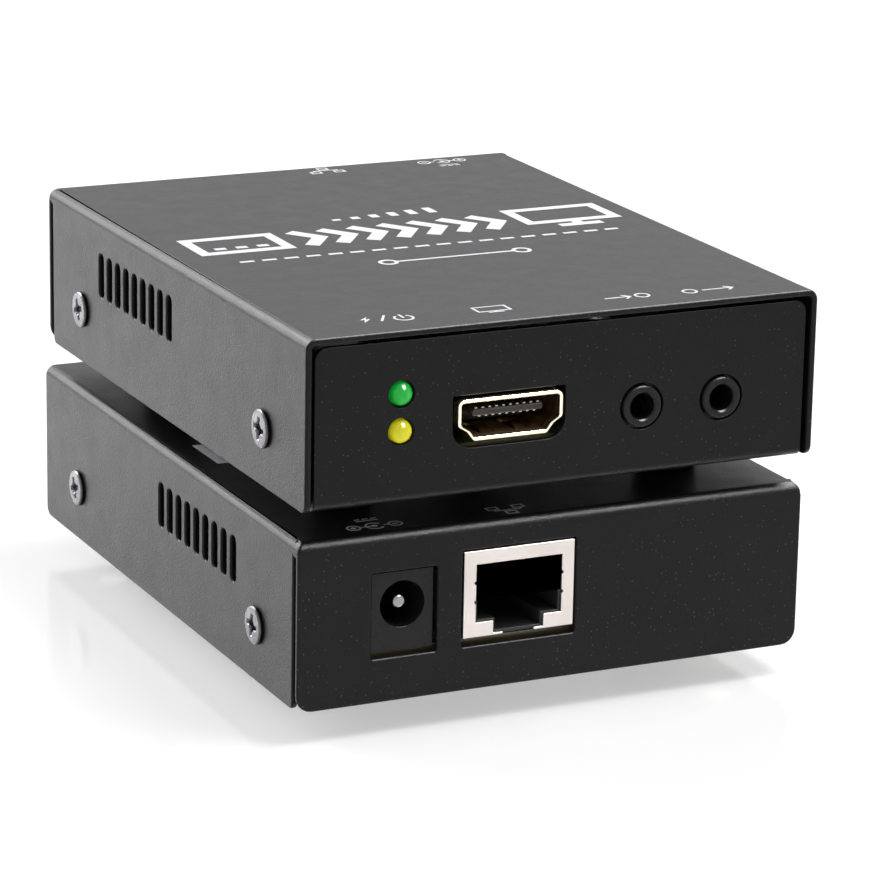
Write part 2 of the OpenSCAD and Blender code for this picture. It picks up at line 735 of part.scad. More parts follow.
module circuit_board()
  color([0.05, 0.3, 0.14]) difference() {
    along_z(board_z, board_top)
      rounded_box([-board_w / 2, board_front_y], [board_w / 2, board_back_y],
        board_corner_r, board_corner_r);
    along_z(board_z - over, board_top + over) {
      standoff_places() circle(d = shank_d + 2 * fit_clear);
      for (side = [-1, 1], end = [-1, 1])
        translate([side * (board_w / 2 + over / 2), end * (case_d / 2 - screw_end)])
          square([2 * notch_len + over, notch_w], center = true);
      for (spot = concat(light_lead_spots, jack_tail_spots)) translate(spot)
        circle(d = pin_hole_d, $fn = 24);
      for (spot = power_spots) translate(spot) circle(d = power_slot_w * 0.8, $fn = 24);
      for (spot = wire_spots) translate(spot) circle(d = network_pitch * 0.75, $fn = 24);
      for (side = [-1, 1], y = video_leg_ys)
        translate([video_cx + side * (video_w - video_t) / 2, y])
          square([video_t + 4 * fit_clear, video_leg_w + 4 * fit_clear], center = true);
      for (side = [-1, 1])
        translate([network_x + side * (network_w - network_t) / 2, shield_leg_y])
          square([network_t + 4 * fit_clear, shield_leg_w + 4 * fit_clear], center = true);
    }
  }

module standoffs()
  color([0.72, 0.7, 0.62]) standoff_places() difference() {
    union() {
      cylinder(h = sheet_t, d = pilot_d);
      translate([0, 0, sheet_t]) cylinder(h = standoff_h, d = standoff_d);
    }
    translate([0, 0, board_top - board_shank_len - over])
      cylinder(h = case_h, d = shank_d + 2 * thread_clear);
  }

module board_screws()
  color([0.75, 0.75, 0.77]) standoff_places() translate([0, 0, board_top])
    pan_screw(board_head_d, board_head_h, head_edge_r, shank_d, board_shank_len);

// Block with two bores that holds the lights one above the other
module light_holder()
  color([0.09, 0.09, 0.09]) difference() {
    box([-light_x - holder_w / 2, holder_front_y, board_top],
      [-light_x + holder_w / 2, holder_back_y, light_high_z + holder_w / 2]);
    for (z = [light_low_z, light_high_z]) {
      along_y(holder_front_y - over, holder_back_y + over)
        translate([-light_x, z]) circle(d = light_d + 2 * fit_clear);
      along_y(light_seat_y, holder_back_y + over)
        translate([-light_x, z]) circle(d = light_flange_d + 2 * fit_clear);
    }
  }

// Domed light with a flange and two leads that turn down into the board
module light(z, lead_y) {
  translate([-light_x, 0, z]) {
    rotate([90, 0, 0]) translate([0, 0, -light_seat_y]) rotate_extrude() difference() {
      union() {
        square([light_d / 2, light_len - light_d / 2]);
        translate([0, light_len - light_d / 2]) circle(d = light_d);
        translate([0, -light_flange_t]) square([light_flange_d / 2, light_flange_t]);
      }
      translate([-light_d, -light_flange_t]) square([light_d, light_len + 2 * light_flange_t]);
    }
    for (side = [-1, 1])
      along_x(side * lead_pitch / 2 - lead_w / 2, side * lead_pitch / 2 + lead_w / 2)
        ribbon([[light_seat_y + light_flange_t / 2, 0], [lead_y, 0],
          [lead_y, board_z - pin_below - z]], lead_w);
  }
}

module green_light() color([0.12, 0.6, 0.25]) light(light_high_z, high_lead_y);
module yellow_light() color([0.8, 0.76, 0.12]) light(light_low_z, low_lead_y);

// Folded shell of the video socket, with spring fingers and four board legs
module video_shell()
  color([0.85, 0.78, 0.6]) translate([video_cx, 0, video_z]) {
    difference() {
      along_y(video_front_y, video_back_y) difference() {
        polygon(video_outline(0));
        polygon(video_outline(video_t));
      }
      for (side = [-1, 1])
        box([side * video_w / 6 - window_w / 2, window_y[0], -over],
          [side * video_w / 6 + window_w / 2, window_y[1], video_h + over]);
      box([-video_w / 2 + step_w + foot_step_w - over, video_back_y - block_d / 2, -over],
        [video_w / 2 - step_w - foot_step_w + over, video_back_y + over, video_t + over]);
    }
    for (side = [-1, 1]) {
      along_x(side * video_w / 6 - window_w / 3, side * video_w / 6 + window_w / 3) {
        ribbon([[window_y[0] - over, video_t / 2], [window_y[0] + window_len / 2, finger_dip],
          [window_y[1] - video_t, video_t]], video_t / 2);
        ribbon([[window_y[0] - over, video_h - video_t / 2],
          [window_y[0] + window_len / 2, video_h - video_t],
          [window_y[1] - video_t, video_h - video_t / 2]], video_t / 2);
      }
      for (y = video_leg_ys)
        box([side * (video_w - video_t) / 2 - video_t / 2, y - video_leg_w / 2,
            board_z - pin_below - video_z],
          [side * (video_w - video_t) / 2 + video_t / 2, y + video_leg_w / 2,
            step_h + foot_step_h + video_low_r]);
    }
  }

// Places of the video contacts along X, with the row they belong to
function row_xs(count) = [for (i = [0:count - 1]) (i - (count - 1) / 2) * video_pitch];
upper_z = tongue_rise + tongue_t / 2 + video_contact_t / 2;
lower_z = tongue_rise - tongue_t / 2 - video_contact_t / 2;

module video_contact_path(z)
  ribbon([[tongue_front_y + video_contact_w, z], [tail_y, z],
    [tail_y, video_contact_t / 2 - video_rise],
    [tail_y + tail_len, video_contact_t / 2 - video_rise]], video_contact_t);

module contact_rows()
  for (row = [[upper_contacts, upper_z], [lower_contacts, lower_z]], x = row_xs(row[0]))
    translate([x, 0, 0]) along_x(-video_contact_w / 2, video_contact_w / 2)
      video_contact_path(row[1]);

// Moulded tongue with the block behind it, grooved for the contacts
module video_tongue()
  color([0.1, 0.1, 0.11]) translate([video_cx, 0, video_z]) difference() {
    union() {
      box([-tongue_w / 2, tongue_front_y, tongue_rise - tongue_t / 2],
        [tongue_w / 2, video_back_y, tongue_rise + tongue_t / 2]);
      along_y(block_front_y, video_back_y) polygon(video_outline(video_t + fit_clear));
      box([-tongue_w / 2, video_back_y - block_d / 2 + fit_clear, -video_rise],
        [tongue_w / 2, video_back_y, video_h / 2]);
    }
    for (row = [[upper_contacts, upper_z], [lower_contacts, lower_z]], x = row_xs(row[0]))
      box([x - video_contact_w / 2, block_front_y - over, row[1] - video_contact_t / 2],
        [x + video_contact_w / 2, video_back_y + over, row[1] + video_contact_t / 2]);
  }

module video_contacts()
  color([0.85, 0.68, 0.3]) translate([video_cx, 0, video_z]) contact_rows();

// Sound jack: a moulded body with a round collar, a bore and a side slot
module sound_jack(x)
  color([0.08, 0.08, 0.085]) translate([x, 0, 0]) difference() {
    union() {
      along_y(jack_body_y, jack_back_y)
        rounded_box([-jack_w / 2, board_top], [jack_w / 2, jack_z + jack_rise], 0, jack_rise / 4);
      translate([0, jack_body_y, jack_z]) rotate([90, 0, 0]) rotate_extrude() polygon(concat(
        [[0, 0]], [[collar_d / 2, 0]],
        rounded_corner([collar_d / 2, 0], [collar_d / 2, jack_body_y - jack_front_y],
          [0, jack_body_y - jack_front_y], collar_edge_r),
        [[0, jack_body_y - jack_front_y]]));
    }
    translate([0, jack_bore_end_y, jack_z]) rotate([90, 0, 0])
      cylinder(h = jack_bore_len + over, d = jack_bore_d);
    translate([0, jack_front_y + jack_chamfer, jack_z]) rotate([90, 0, 0])
      cylinder(h = jack_chamfer, d1 = jack_bore_d, d2 = jack_bore_d + 2 * jack_chamfer);
    box([0, jack_slot_y, jack_z - jack_slot_h / 2],
      [jack_w / 2 + over, jack_slot_end_y, jack_z + jack_slot_h / 2]);
  }
module left_jack() sound_jack(jack_x);
module right_jack() sound_jack(jack_x + jack_pitch);

// Leaf springs in the side slots of the jacks, with tails down through the board
module jack_springs()
  color([0.8, 0.8, 0.78]) for (spot = jack_tail_spots)
    translate([spot[0] - jack_w / 2 - spring_t, 0, 0]) {
      along_z(jack_z - lead_w, jack_z + lead_w) ribbon([
        [jack_bore_d / 2 + 2 * spring_t, jack_slot_y + spring_t],
        [jack_bore_d / 2 + spring_t, jack_slot_y + jack_slot_h],
        [jack_w / 2 + spring_t, spot[1]]], spring_t);
      box([jack_w / 2 + spring_t / 2, spot[1] - lead_w / 2, board_z - pin_below],
        [jack_w / 2 + 3 * spring_t / 2, spot[1] + lead_w / 2, jack_z + lead_w]);
    }

// Power jack: a square face block with a round-backed barrel behind it
module power_body()
  color([0.1, 0.1, 0.105]) translate([power_x, 0, 0]) difference() {
    union() {
      along_y(power_front_y - power_face_d, power_front_y) rounded_box(
        [-power_w / 2, board_top], [power_w / 2, board_top + power_h], power_chamfer, power_chamfer);
      along_y(power_back_y, power_front_y - power_face_d) {
        translate([0, power_z]) circle(d = power_w);
        translate([-power_w / 2, board_top]) square([power_w, power_rise]);
      }
    }
    translate([0, power_bore_end_y, power_z]) rotate([-90, 0, 0])
      cylinder(h = power_bore_len + over, d = power_bore_d);
    along_y(power_back_y - over, power_bore_end_y + over)
      translate([0, power_z]) circle(d = pin_shoulder_d + 2 * fit_clear);
    box([power_slot_x - power_slot_w / 2, power_bore_end_y, board_top - over],
      [power_slot_x + power_slot_w / 2, power_slot_start_y, power_z - power_bore_d / 4]);
  }

// Centre pin with a domed tip and a thicker shank through the back of the jack
module power_pin()
  color([0.83, 0.83, 0.82]) translate([power_x, 0, 0]) {
    translate([0, power_front_y - power_pin_back, power_z]) rotate([90, 0, 0]) rotate_extrude()
      polygon(concat([[0, 0]],
        rounded_corner([0, 0], [power_pin_d / 2, 0], [power_pin_d / 2, power_d], power_pin_d / 4),
        [[power_pin_d / 2, power_bore_len - power_pin_back],
          [pin_shoulder_d / 2, power_bore_len - power_pin_back],
          [pin_shoulder_d / 2, power_d - power_pin_back + 3 * spring_t],
          [0, power_d - power_pin_back + 3 * spring_t]]));
    along_x(-lead_w, lead_w) ribbon([[power_back_y - 2 * spring_t, power_z + lead_w],
      [power_back_y - 2 * spring_t, board_z - pin_below]], spring_t);
  }

// Sleeve spring that rises through the slot under the bore
module power_spring()
  color([0.83, 0.83, 0.82]) translate([power_x + power_slot_x, 0, 0])
    along_x(-power_slot_w / 3, power_slot_w / 3) ribbon([
      [power_spring_y, board_z - pin_below], [power_spring_y, power_z - power_bore_d / 2 - spring_t],
      [(power_spring_y + power_slot_start_y) / 2, power_z - power_bore_d / 2 + spring_t / 2],
      [power_slot_start_y - 2 * spring_t, power_z - power_bore_d / 2 - 2 * spring_t]], spring_t);

// Opening in the front of the network socket's shield
module mouth_outline() {
  translate([-mouth_w / 2, sill_h]) square([mouth_w, mouth_h]);
  translate([-latch_w / 2, sill_h - latch_h]) square([latch_w, latch_h + over]);
  translate([-lip_gap_w / 2, -over]) square([lip_gap_w, sill_h]);
  for (side = [-1, 1], end = [-1, 1])
    translate([side * mouth_w / 2, tab_rise + end * (tab_h + tab_relief_d) / 2])
      circle(d = tab_relief_d, $fn = 16);
}

// Folded shield with its front opening, side tabs and two board legs
module network_shield()
  color([0.82, 0.8, 0.78]) translate([network_x, 0, network_z]) {
    difference() {
      box([-network_w / 2, network_back_y, 0], [network_w / 2, network_front_y, network_h]);
      box([-network_w / 2 + network_t, network_back_y + network_t, -over],
        [network_w / 2 - network_t, network_front_y - network_t, network_h - network_t]);
      along_y(network_front_y - network_t - over, network_front_y + over) mouth_outline();
    }
    for (side = [-1, 1]) {
      translate([side * (mouth_w + network_t) / 2, 0, tab_rise - tab_h / 2])
        along_z(0, tab_h) ribbon([
          [0, network_front_y], [0, network_front_y - network_t],
          [-side * network_t, network_front_y - tab_len]], network_t / 2);
      box([side * (network_w - network_t) / 2 - network_t / 2, shield_leg_y - shield_leg_w / 2,
          board_z - pin_below - network_z],
        [side * (network_w - network_t) / 2 + network_t / 2, shield_leg_y + shield_leg_w / 2,
          sill_h]);
    }
  }

// Moulded housing with the stepped cavity and the comb for eight contacts
module network_housing()
  color([0.07, 0.07, 0.075]) translate([network_x, 0, 0]) difference() {
    union() {
      box([-housing_w / 2, housing_back_y, housing_bottom_z],
        [housing_w / 2, housing_front_y, housing_top_z]);
      for (side = [-1, 1])
        box([side * housing_w / 3 - sill_h / 2, housing_back_y, board_top],
          [side * housing_w / 3 + sill_h / 2, housing_front_y - sill_h, housing_bottom_z + over]);
    }
    box([-mouth_w / 2 + cavity_inset, cavity_back_y, cavity_floor_z],
      [mouth_w / 2 - cavity_inset, housing_front_y + over, cavity_top_z]);
    box([-latch_w / 2 + cavity_inset, cavity_back_y, latch_floor_z],
      [latch_w / 2 - cavity_inset, housing_front_y + over, cavity_floor_z + over]);
    for (side = [-1, 1])
      translate([side * (mouth_w / 2 + network_t), 0, network_z + tab_rise - tab_h / 2 - fit_clear])
        box([-2 * network_t, housing_front_y - tab_len, 0],
          [2 * network_t, housing_front_y + over, tab_h + 2 * fit_clear]);
    for (spot = wire_spots) translate([spot[0] - network_x, 0, 0]) {
      box([-comb_w / 2, cavity_back_y, cavity_top_z - over],
        [comb_w / 2, wire_front_y + 2 * network_contact_t, comb_top_z]);
      box([-comb_w / 2, housing_back_y - over, comb_top_z - 3 * network_contact_t],
        [comb_w / 2, cavity_back_y + over, comb_top_z]);
      box([-comb_w / 2, housing_back_y - over, board_top - over],
        [comb_w / 2, wire_tail_y + network_contact_t, comb_top_z]);
    }
  }

// Spring wires: up from the board, over the roof and back down into the cavity
module network_contacts()
  color([0.85, 0.68, 0.3]) for (spot = wire_spots)
    along_x(spot[0] - network_contact_w / 2, spot[0] + network_contact_w / 2) ribbon([
      [wire_tail_y, board_z - pin_below], [wire_tail_y, wire_top_z], [wire_front_y, wire_top_z],
      [wire_front_y - network_contact_t, wire_top_z - 2.5 * network_contact_t],
      [wire_end_y, wire_low_z]], network_contact_t);

module main_chip()
  color([0.08, 0.08, 0.08]) on_board(chip_place_shares)
    box([-chip_w / 2, -chip_w / 2, 0], [chip_w / 2, chip_w / 2, chip_h]);

// Finned heat sink on the main chip
module heat_sink()
  color([0.5, 0.5, 0.52]) on_board(chip_place_shares) along_y(-sink_w / 2, sink_w / 2) {
    translate([-sink_w / 2, chip_h]) square([sink_w, sink_base_t]);
    for (i = [0:fin_count - 1])
      translate([-sink_w / 2 + i * (sink_w - fin_t) / (fin_count - 1), chip_h])
        square([fin_t, sink_h]);
  }

// Moulded transformer with a row of bent leads along each long side
module network_transformer()
  color([0.09, 0.09, 0.09]) translate([network_x, 0, 0]) on_board([0, former_y_share]) {
    along_z(lead_w / 2, former_h) rounded_box([-former_w / 2, -former_d / 2],
      [former_w / 2, former_d / 2], lead_w, lead_w);
    for (side = [-1, 1], i = [0:former_leads - 1])
      translate([(i - (former_leads - 1) / 2) * former_pitch, 0, 0])
        along_x(-lead_w / 2, lead_w / 2) ribbon([
          [side * (former_d / 2 - lead_w), former_h / 3], [side * (former_d / 2 + lead_w), former_h / 3],
          [side * (former_d / 2 + 2 * lead_w), spring_t / 2],
          [side * (former_d / 2 + 4 * lead_w), spring_t / 2]], spring_t);
  }

// Shielded coil: a square core with a round winding window in its top
module power_coil()
  color([0.2, 0.2, 0.21]) on_board(coil_place_shares) difference() {
    along_z(0, coil_h) rounded_box([-coil_w / 2, -coil_w / 2], [coil_w / 2, coil_w / 2],
      coil_w / 8, coil_w / 8);
    translate([0, 0, coil_h / 4]) difference() {
      cylinder(h = coil_h, d = coil_w * 0.85);
      translate([0, 0, -over]) cylinder(h = coil_h + 2 * over, d = coil_w * 0.6);
    }
  }

// Upright capacitor cans on moulded bases, with a vent cross on top
module capacitors()
  color([0.72, 0.72, 0.74]) for (share = can_place_shares) on_board(share) {
    along_z(0, can_base_h)
      rounded_box([-can_d / 2, -can_d / 2], [can_d / 2, can_d / 2], 0, can_base_h);
    difference() {
      translate([0, 0, can_base_h / 2]) cylinder(h = can_h - can_base_h / 2, d = can_d);
      for (turn = [45, 135]) translate([0, 0, can_h]) rotate(turn)
        cube([can_d * 0.7, lead_w / 2, lead_w / 2], center = true);
      translate([0, 0, can_base_h * 1.6]) rotate_extrude()
        translate([can_d / 2 + can_base_h / 8, 0]) circle(d = can_base_h / 2, $fn = 16);
    }
  }

module small_chips()
  color([0.09, 0.09, 0.09]) for (row = small_chip_shares) on_board(row)
    along_z(0, small_chip_h) square([row[2] * small_chip_w, row[3] * small_chip_w], center = true);

// Clock crystal in a flat can with round ends, on a flange
module clock_crystal()
  color([0.78, 0.78, 0.8]) on_board(crystal_place_shares) {
    along_z(0, crystal_h / 8) rotate(90) slot_hole(crystal_d, crystal_w);
    along_z(0, crystal_h) rotate(90) slot_hole(crystal_d * 0.82, crystal_w - crystal_d * 0.18);
  }

// The receiver stands on top and shows its socket end in front
module receiver()
  translate([0, -stack_shift / 2, 2 * foot_h + case_h]) children();

// The transmitter stands below, turned end for end
module transmitter()
  translate([0, stack_shift / 2, foot_h]) rotate(180) children();

receiver() cover();  // receiver_cover
receiver() chassis();  // receiver_chassis
receiver() cover_screws();  // receiver_cover_screws
receiver() feet();  // receiver_feet
receiver() circuit_board();  // receiver_circuit_board
receiver() standoffs();  // receiver_standoffs
receiver() board_screws();  // receiver_board_screws
receiver() light_holder();  // receiver_light_holder
receiver() green_light();  // receiver_green_light
receiver() yellow_light();  // receiver_yellow_light
receiver() video_shell();  // receiver_video_shell
receiver() video_tongue();  // receiver_video_tongue
receiver() video_contacts();  // receiver_video_contacts
receiver() left_jack();  // receiver_left_jack
receiver() right_jack();  // receiver_right_jack
receiver() jack_springs();  // receiver_jack_springs
receiver() power_body();  // receiver_power_body
receiver() power_pin();  // receiver_power_pin
receiver() power_spring();  // receiver_power_spring
receiver() network_shield();  // receiver_network_shield
receiver() network_housing();  // receiver_network_housing
receiver() network_contacts();  // receiver_network_contacts
receiver() main_chip();  // receiver_main_chip
receiver() heat_sink();  // receiver_heat_sink
receiver() network_transformer();  // receiver_network_transformer
receiver() power_coil();  // receiver_power_coil
receiver() capacitors();  // receiver_capacitors
receiver() small_chips();  // receiver_small_chips
receiver() clock_crystal();  // receiver_clock_crystal
transmitter() cover();  // transmitter_cover
transmitter() chassis();  // transmitter_chassis
transmitter() cover_screws();  // transmitter_cover_screws
transmitter() feet();  // transmitter_feet
transmitter() circuit_board();  // transmitter_circuit_board
transmitter() standoffs();  // transmitter_standoffs
transmitter() board_screws();  // transmitter_board_screws
transmitter() light_holder();  // transmitter_light_holder
transmitter() green_light();  // transmitter_green_light
transmitter() yellow_light();  // transmitter_yellow_light
transmitter() video_shell();  // transmitter_video_shell
transmitter() video_tongue();  // transmitter_video_tongue
transmitter() video_contacts();  // transmitter_video_contacts
transmitter() left_jack();  // transmitter_left_jack
transmitter() right_jack();  // transmitter_right_jack
transmitter() jack_springs();  // transmitter_jack_springs
transmitter() power_body();  // transmitter_power_body
transmitter() power_pin();  // transmitter_power_pin
transmitter() power_spring();  // transmitter_power_spring
transmitter() network_shield();  // transmitter_network_shield
transmitter() network_housing();  // transmitter_network_housing
transmitter() network_contacts();  // transmitter_network_contacts
transmitter() main_chip();  // transmitter_main_chip
transmitter() heat_sink();  // transmitter_heat_sink
transmitter() network_transformer();  // transmitter_network_transformer
transmitter() power_coil();  // transmitter_power_coil
transmitter() capacitors();  // transmitter_capacitors
transmitter() small_chips();  // transmitter_small_chips
transmitter() clock_crystal();  // transmitter_clock_crystal
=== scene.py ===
# %% [markdown]
# # Two signal extender units, one on the other
#
# The object is a pair of small black steel boxes. The upper one, the receiver,
# shows its socket end. The lower one, the transmitter, is turned end for end.
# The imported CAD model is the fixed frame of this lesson: every piece below takes
# its place and size from it, and no CAD part is moved or resized.

# %% Load the fixed frame
import json
import math

import bmesh
import bpy
import numpy as np
from mathutils import Matrix, Vector
from mathutils.bvhtree import BVHTree

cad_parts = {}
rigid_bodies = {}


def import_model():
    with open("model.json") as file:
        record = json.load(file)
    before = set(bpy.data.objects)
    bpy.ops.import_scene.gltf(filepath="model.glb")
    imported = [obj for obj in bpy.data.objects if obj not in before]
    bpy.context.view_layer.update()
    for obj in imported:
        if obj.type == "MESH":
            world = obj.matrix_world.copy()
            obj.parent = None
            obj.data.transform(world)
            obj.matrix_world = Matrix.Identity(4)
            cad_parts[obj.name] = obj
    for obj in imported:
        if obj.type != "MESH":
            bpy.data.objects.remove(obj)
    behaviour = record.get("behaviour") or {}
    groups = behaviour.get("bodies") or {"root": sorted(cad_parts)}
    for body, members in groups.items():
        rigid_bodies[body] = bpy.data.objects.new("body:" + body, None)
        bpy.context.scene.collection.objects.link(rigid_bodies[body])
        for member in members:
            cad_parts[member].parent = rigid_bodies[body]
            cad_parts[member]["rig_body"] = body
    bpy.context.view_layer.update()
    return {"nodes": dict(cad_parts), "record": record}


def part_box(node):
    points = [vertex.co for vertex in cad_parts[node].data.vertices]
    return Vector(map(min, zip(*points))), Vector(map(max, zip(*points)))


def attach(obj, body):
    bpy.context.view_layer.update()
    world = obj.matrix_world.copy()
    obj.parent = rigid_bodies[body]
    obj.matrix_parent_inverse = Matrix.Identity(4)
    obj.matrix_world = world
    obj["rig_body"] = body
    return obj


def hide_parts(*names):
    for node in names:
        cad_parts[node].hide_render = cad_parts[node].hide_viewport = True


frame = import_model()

# %% [markdown]
# ## A place in a unit's own frame
#
# Both units are built alike, so it helps to think in the frame of one unit, in
# millimetres: X to the right and Z up as seen from the socket end, Y towards the
# power end, and the origin under the middle of the case. The cover's box in the
# CAD says where that origin lies, and the transmitter is turned half a turn.

# %% Units and their places
MM = 0.001
FACING = {"receiver": 1.0, "transmitter": -1.0}


def unit_origin(unit):
    """Point under the middle of a unit's cover, in metres."""
    low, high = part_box(unit + "_cover")
    return np.array([(low.x + high.x) / 2, (low.y + high.y) / 2, low.z])


def to_frame(unit, points):
    """Points of a unit's own frame, in mm, as points of the shared frame, in metres."""
    turn = np.array([FACING[unit], FACING[unit], 1.0])
    return unit_origin(unit) + np.asarray(points, float) * turn * MM


case_low, case_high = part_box("receiver_cover")
case_w, case_d, case_h = ((case_high - case_low) / MM)
print("a case measures %.1f x %.1f x %.1f mm" % (case_w, case_d, case_h))

# %% [markdown]
# ## The camera
#
# The photograph was taken from the left of the socket end and a little above,
# with a long lens. Its place and angles come from fitting the corners of both
# cases to the photograph. The object's box fills the view as it does there.

# %% Camera at the photograph's viewing angle
CAMERA_PLACE = (-0.22920, -0.48957, 0.18102)
CAMERA_TURN = 25.56        # degrees to the right of straight along +Y
CAMERA_DROP = 16.08        # degrees below level
CAMERA_ROLL = 1.075        # degrees, clockwise as the camera sees it
CAMERA_LENS = 160.46       # mm
CAMERA_SENSOR = 36.0       # mm, its width


def camera_matrix():
    """Camera axes as columns: right, up and backwards, rolled about the line of sight."""
    turn, drop, roll = (math.radians(a) for a in (CAMERA_TURN, CAMERA_DROP, CAMERA_ROLL))
    ahead = Vector((math.sin(turn) * math.cos(drop), math.cos(turn) * math.cos(drop), -math.sin(drop)))
    level = Vector((math.cos(turn), -math.sin(turn), 0.0))
    upright = level.cross(ahead)
    right = level * math.cos(roll) + upright * math.sin(roll)
    up = upright * math.cos(roll) - level * math.sin(roll)
    axes = Matrix((right, up, -ahead)).transposed().to_4x4()
    return Matrix.Translation(CAMERA_PLACE) @ axes


camera = bpy.data.objects.new("camera", bpy.data.cameras.new("camera"))
camera.data.lens = CAMERA_LENS
camera.data.sensor_width = CAMERA_SENSOR
camera.matrix_world = camera_matrix()
bpy.context.scene.collection.objects.link(camera)
bpy.context.scene.camera = camera
print("camera", round(camera.location.length, 3), "m from the origin")

# %% [markdown]
# ## Building nodes in code
#
# A node is a type, some settings of its own, and sockets that hold a value or
# take another node's output. One small function makes them all, so that a
# material can be read from top to bottom as a recipe.

# %% Node helpers


def add(tree, kind, inputs=None, **settings):
    """Makes one node. Inputs are given by socket name or number, as a value or as an output."""
    made = tree.nodes.new("ShaderNode" + kind)
    for name, value in settings.items():
        setattr(made, name, value)
    for name, value in (inputs or {}).items():
        if isinstance(value, bpy.types.NodeSocket):
            tree.links.new(value, made.inputs[name])
        else:
            made.inputs[name].default_value = value
    return made


def math_node(tree, operation, *values):
    """Result of one sum: ADD, MULTIPLY, MAXIMUM and so on."""
    return add(tree, "Math", dict(enumerate(values)), operation=operation).outputs[0]


def ramp(tree, value, low, high, to_low=0.0, to_high=1.0):
    """Straight ramp of a value from low..high to to_low..to_high, clamped at both ends."""
    return add(tree, "MapRange", {"Value": value, "From Min": low, "From Max": high,
                                  "To Min": to_low, "To Max": to_high}).outputs[0]


def mix_colour(tree, factor, first, second):
    """Blend of two colours: the first at factor 0, the second at factor 1."""
    sockets = {0: factor, 6: first, 7: second}
    return add(tree, "Mix", sockets, data_type="RGBA").outputs[2]


def grey(level):
    """Grey of that level, as a colour with alpha."""
    return (level, level, level, 1.0)


print("node helpers are ready")

# %% [markdown]
# ## Light and background
#
# The picture is a plain studio shot on white. Black paint shows the lamps more
# than its own colour, so their places matter more than their strength. Three
# soft boxes light everything. The widest stands low behind the object on the
# left: the long sides mirror it at a flat angle and turn mid grey. Three more
# are there for shine alone. They show as gloss and light no matt surface, so they
# may be bright while the white ink and the floor keep their tone. Two of them
# stand higher at the back, for the top and for the folds along the left, and one
# hangs overhead on the right, for the bright line along each front edge. The
# background is white for camera, glossy and transmission rays alone, so it
# doesn't flood the object with light.

# %% Lamps
STACK_MIDDLE = (0.0, 0.0, 0.03)


def soft_box(name, place, width, height, level, aim=STACK_MIDDLE, lights_matt=True):
    """Soft box facing a point. Level is how bright its face looks, where 1 is white."""
    data = bpy.data.lights.new(name, "AREA")
    data.shape = "RECTANGLE"
    data.size, data.size_y = width, height
    data.energy = level * math.pi * width * height
    lamp = bpy.data.objects.new(name, data)
    lamp.location = place
    lamp.rotation_euler = (Vector(aim) - Vector(place)).to_track_quat("-Z", "Y").to_euler()
    lamp.visible_camera = False
    lamp.visible_diffuse = lights_matt
    bpy.context.scene.collection.objects.link(lamp)


soft_box("lamp_left_back", (-0.52, 0.84, 0.33), 0.66, 0.50, 7.4)
soft_box("lamp_overhead", (0.30, -0.20, 0.85), 0.45, 0.45, 7.0)
soft_box("lamp_right", (0.85, 0.15, 0.42), 0.40, 0.40, 1.5)
soft_box("shine_back", (-0.02, 0.86, 0.60), 0.40, 0.22, 6.5, lights_matt=False)
soft_box("shine_left", (-0.38, 0.72, 0.64), 0.40, 0.28, 28.0, lights_matt=False)
soft_box("shine_overhead", (0.40, -0.17, 0.80), 0.50, 1.35, 30.0, aim=(0.40, -0.17, 0.0),
         lights_matt=False)

# %% World: white to look at, softer as a light


def seen_directly(tree):
    """1 for camera, glossy and transmission rays, and 0 for the rays that light a surface."""
    path = add(tree, "LightPath")
    mirrored = math_node(tree, "MAXIMUM", path.outputs["Is Glossy Ray"],
                         path.outputs["Is Transmission Ray"])
    return math_node(tree, "MAXIMUM", path.outputs["Is Camera Ray"], mirrored)


AMBIENT = 0.30             # level of the world as a light, where 1 is white
world = bpy.data.worlds.new("studio")
world.use_nodes = True
world.node_tree.nodes.clear()
strength = ramp(world.node_tree, seen_directly(world.node_tree), 0.0, 1.0, AMBIENT, 1.0)
sky = add(world.node_tree, "Background", {"Color": grey(1.0), "Strength": strength})
add(world.node_tree, "OutputWorld", {"Surface": sky.outputs[0]})
bpy.context.scene.world = world
bpy.context.scene.view_settings.view_transform = "Standard"
print("world is set")

# %% [markdown]
# ## Floor
#
# The object stands on glossy white paper. Paper alone would come out grey
# beside the background, so a glow lifts it, for camera and mirror rays only, and
# the object's shadow stays.

# %% Floor: pale, with the object's shadow
FLOOR_RADIUS = 2.5         # m
FLOOR_SEGMENTS = 96
FLOOR_HEIGHT = -0.0001     # m, just under the feet
FLOOR_TONE = 0.80          # grey of the paper
FLOOR_LIFT = 0.55          # glow that turns the paper white where it is seen or mirrored
FLOOR_GLOSS = 0.12         # roughness of the gloss on the paper
FLOOR_IOR = 1.45           # index that sets how much of the gloss shows


def disc_mesh(name, radius, segments, height):
    """Flat disc: points at equal angles round a circle, joined as one face."""
    angle = np.linspace(0, 2 * np.pi, segments, endpoint=False)
    ring = np.stack([radius * np.cos(angle), radius * np.sin(angle), np.full(segments, height)], 1)
    mesh = bpy.data.meshes.new(name)
    mesh.from_pydata(ring.tolist(), [], [list(range(segments))])
    return mesh


floor_paint = bpy.data.materials.new("floor_paper")
floor_paint.use_nodes = True
tree = floor_paint.node_tree
tree.nodes.clear()
paper = add(tree, "BsdfDiffuse", {"Color": grey(FLOOR_TONE)})
lift = math_node(tree, "MULTIPLY", seen_directly(tree), FLOOR_LIFT)
glow = add(tree, "Emission", {"Color": grey(1.0), "Strength": lift})
matt = add(tree, "AddShader", {0: paper.outputs[0], 1: glow.outputs[0]})
gloss = add(tree, "BsdfGlossy", {"Color": grey(1.0), "Roughness": FLOOR_GLOSS})
share = add(tree, "Fresnel", {"IOR": FLOOR_IOR})
surface = add(tree, "MixShader", {0: share.outputs[0], 1: matt.outputs[0], 2: gloss.outputs[0]})
add(tree, "OutputMaterial", {"Surface": surface.outputs[0]})

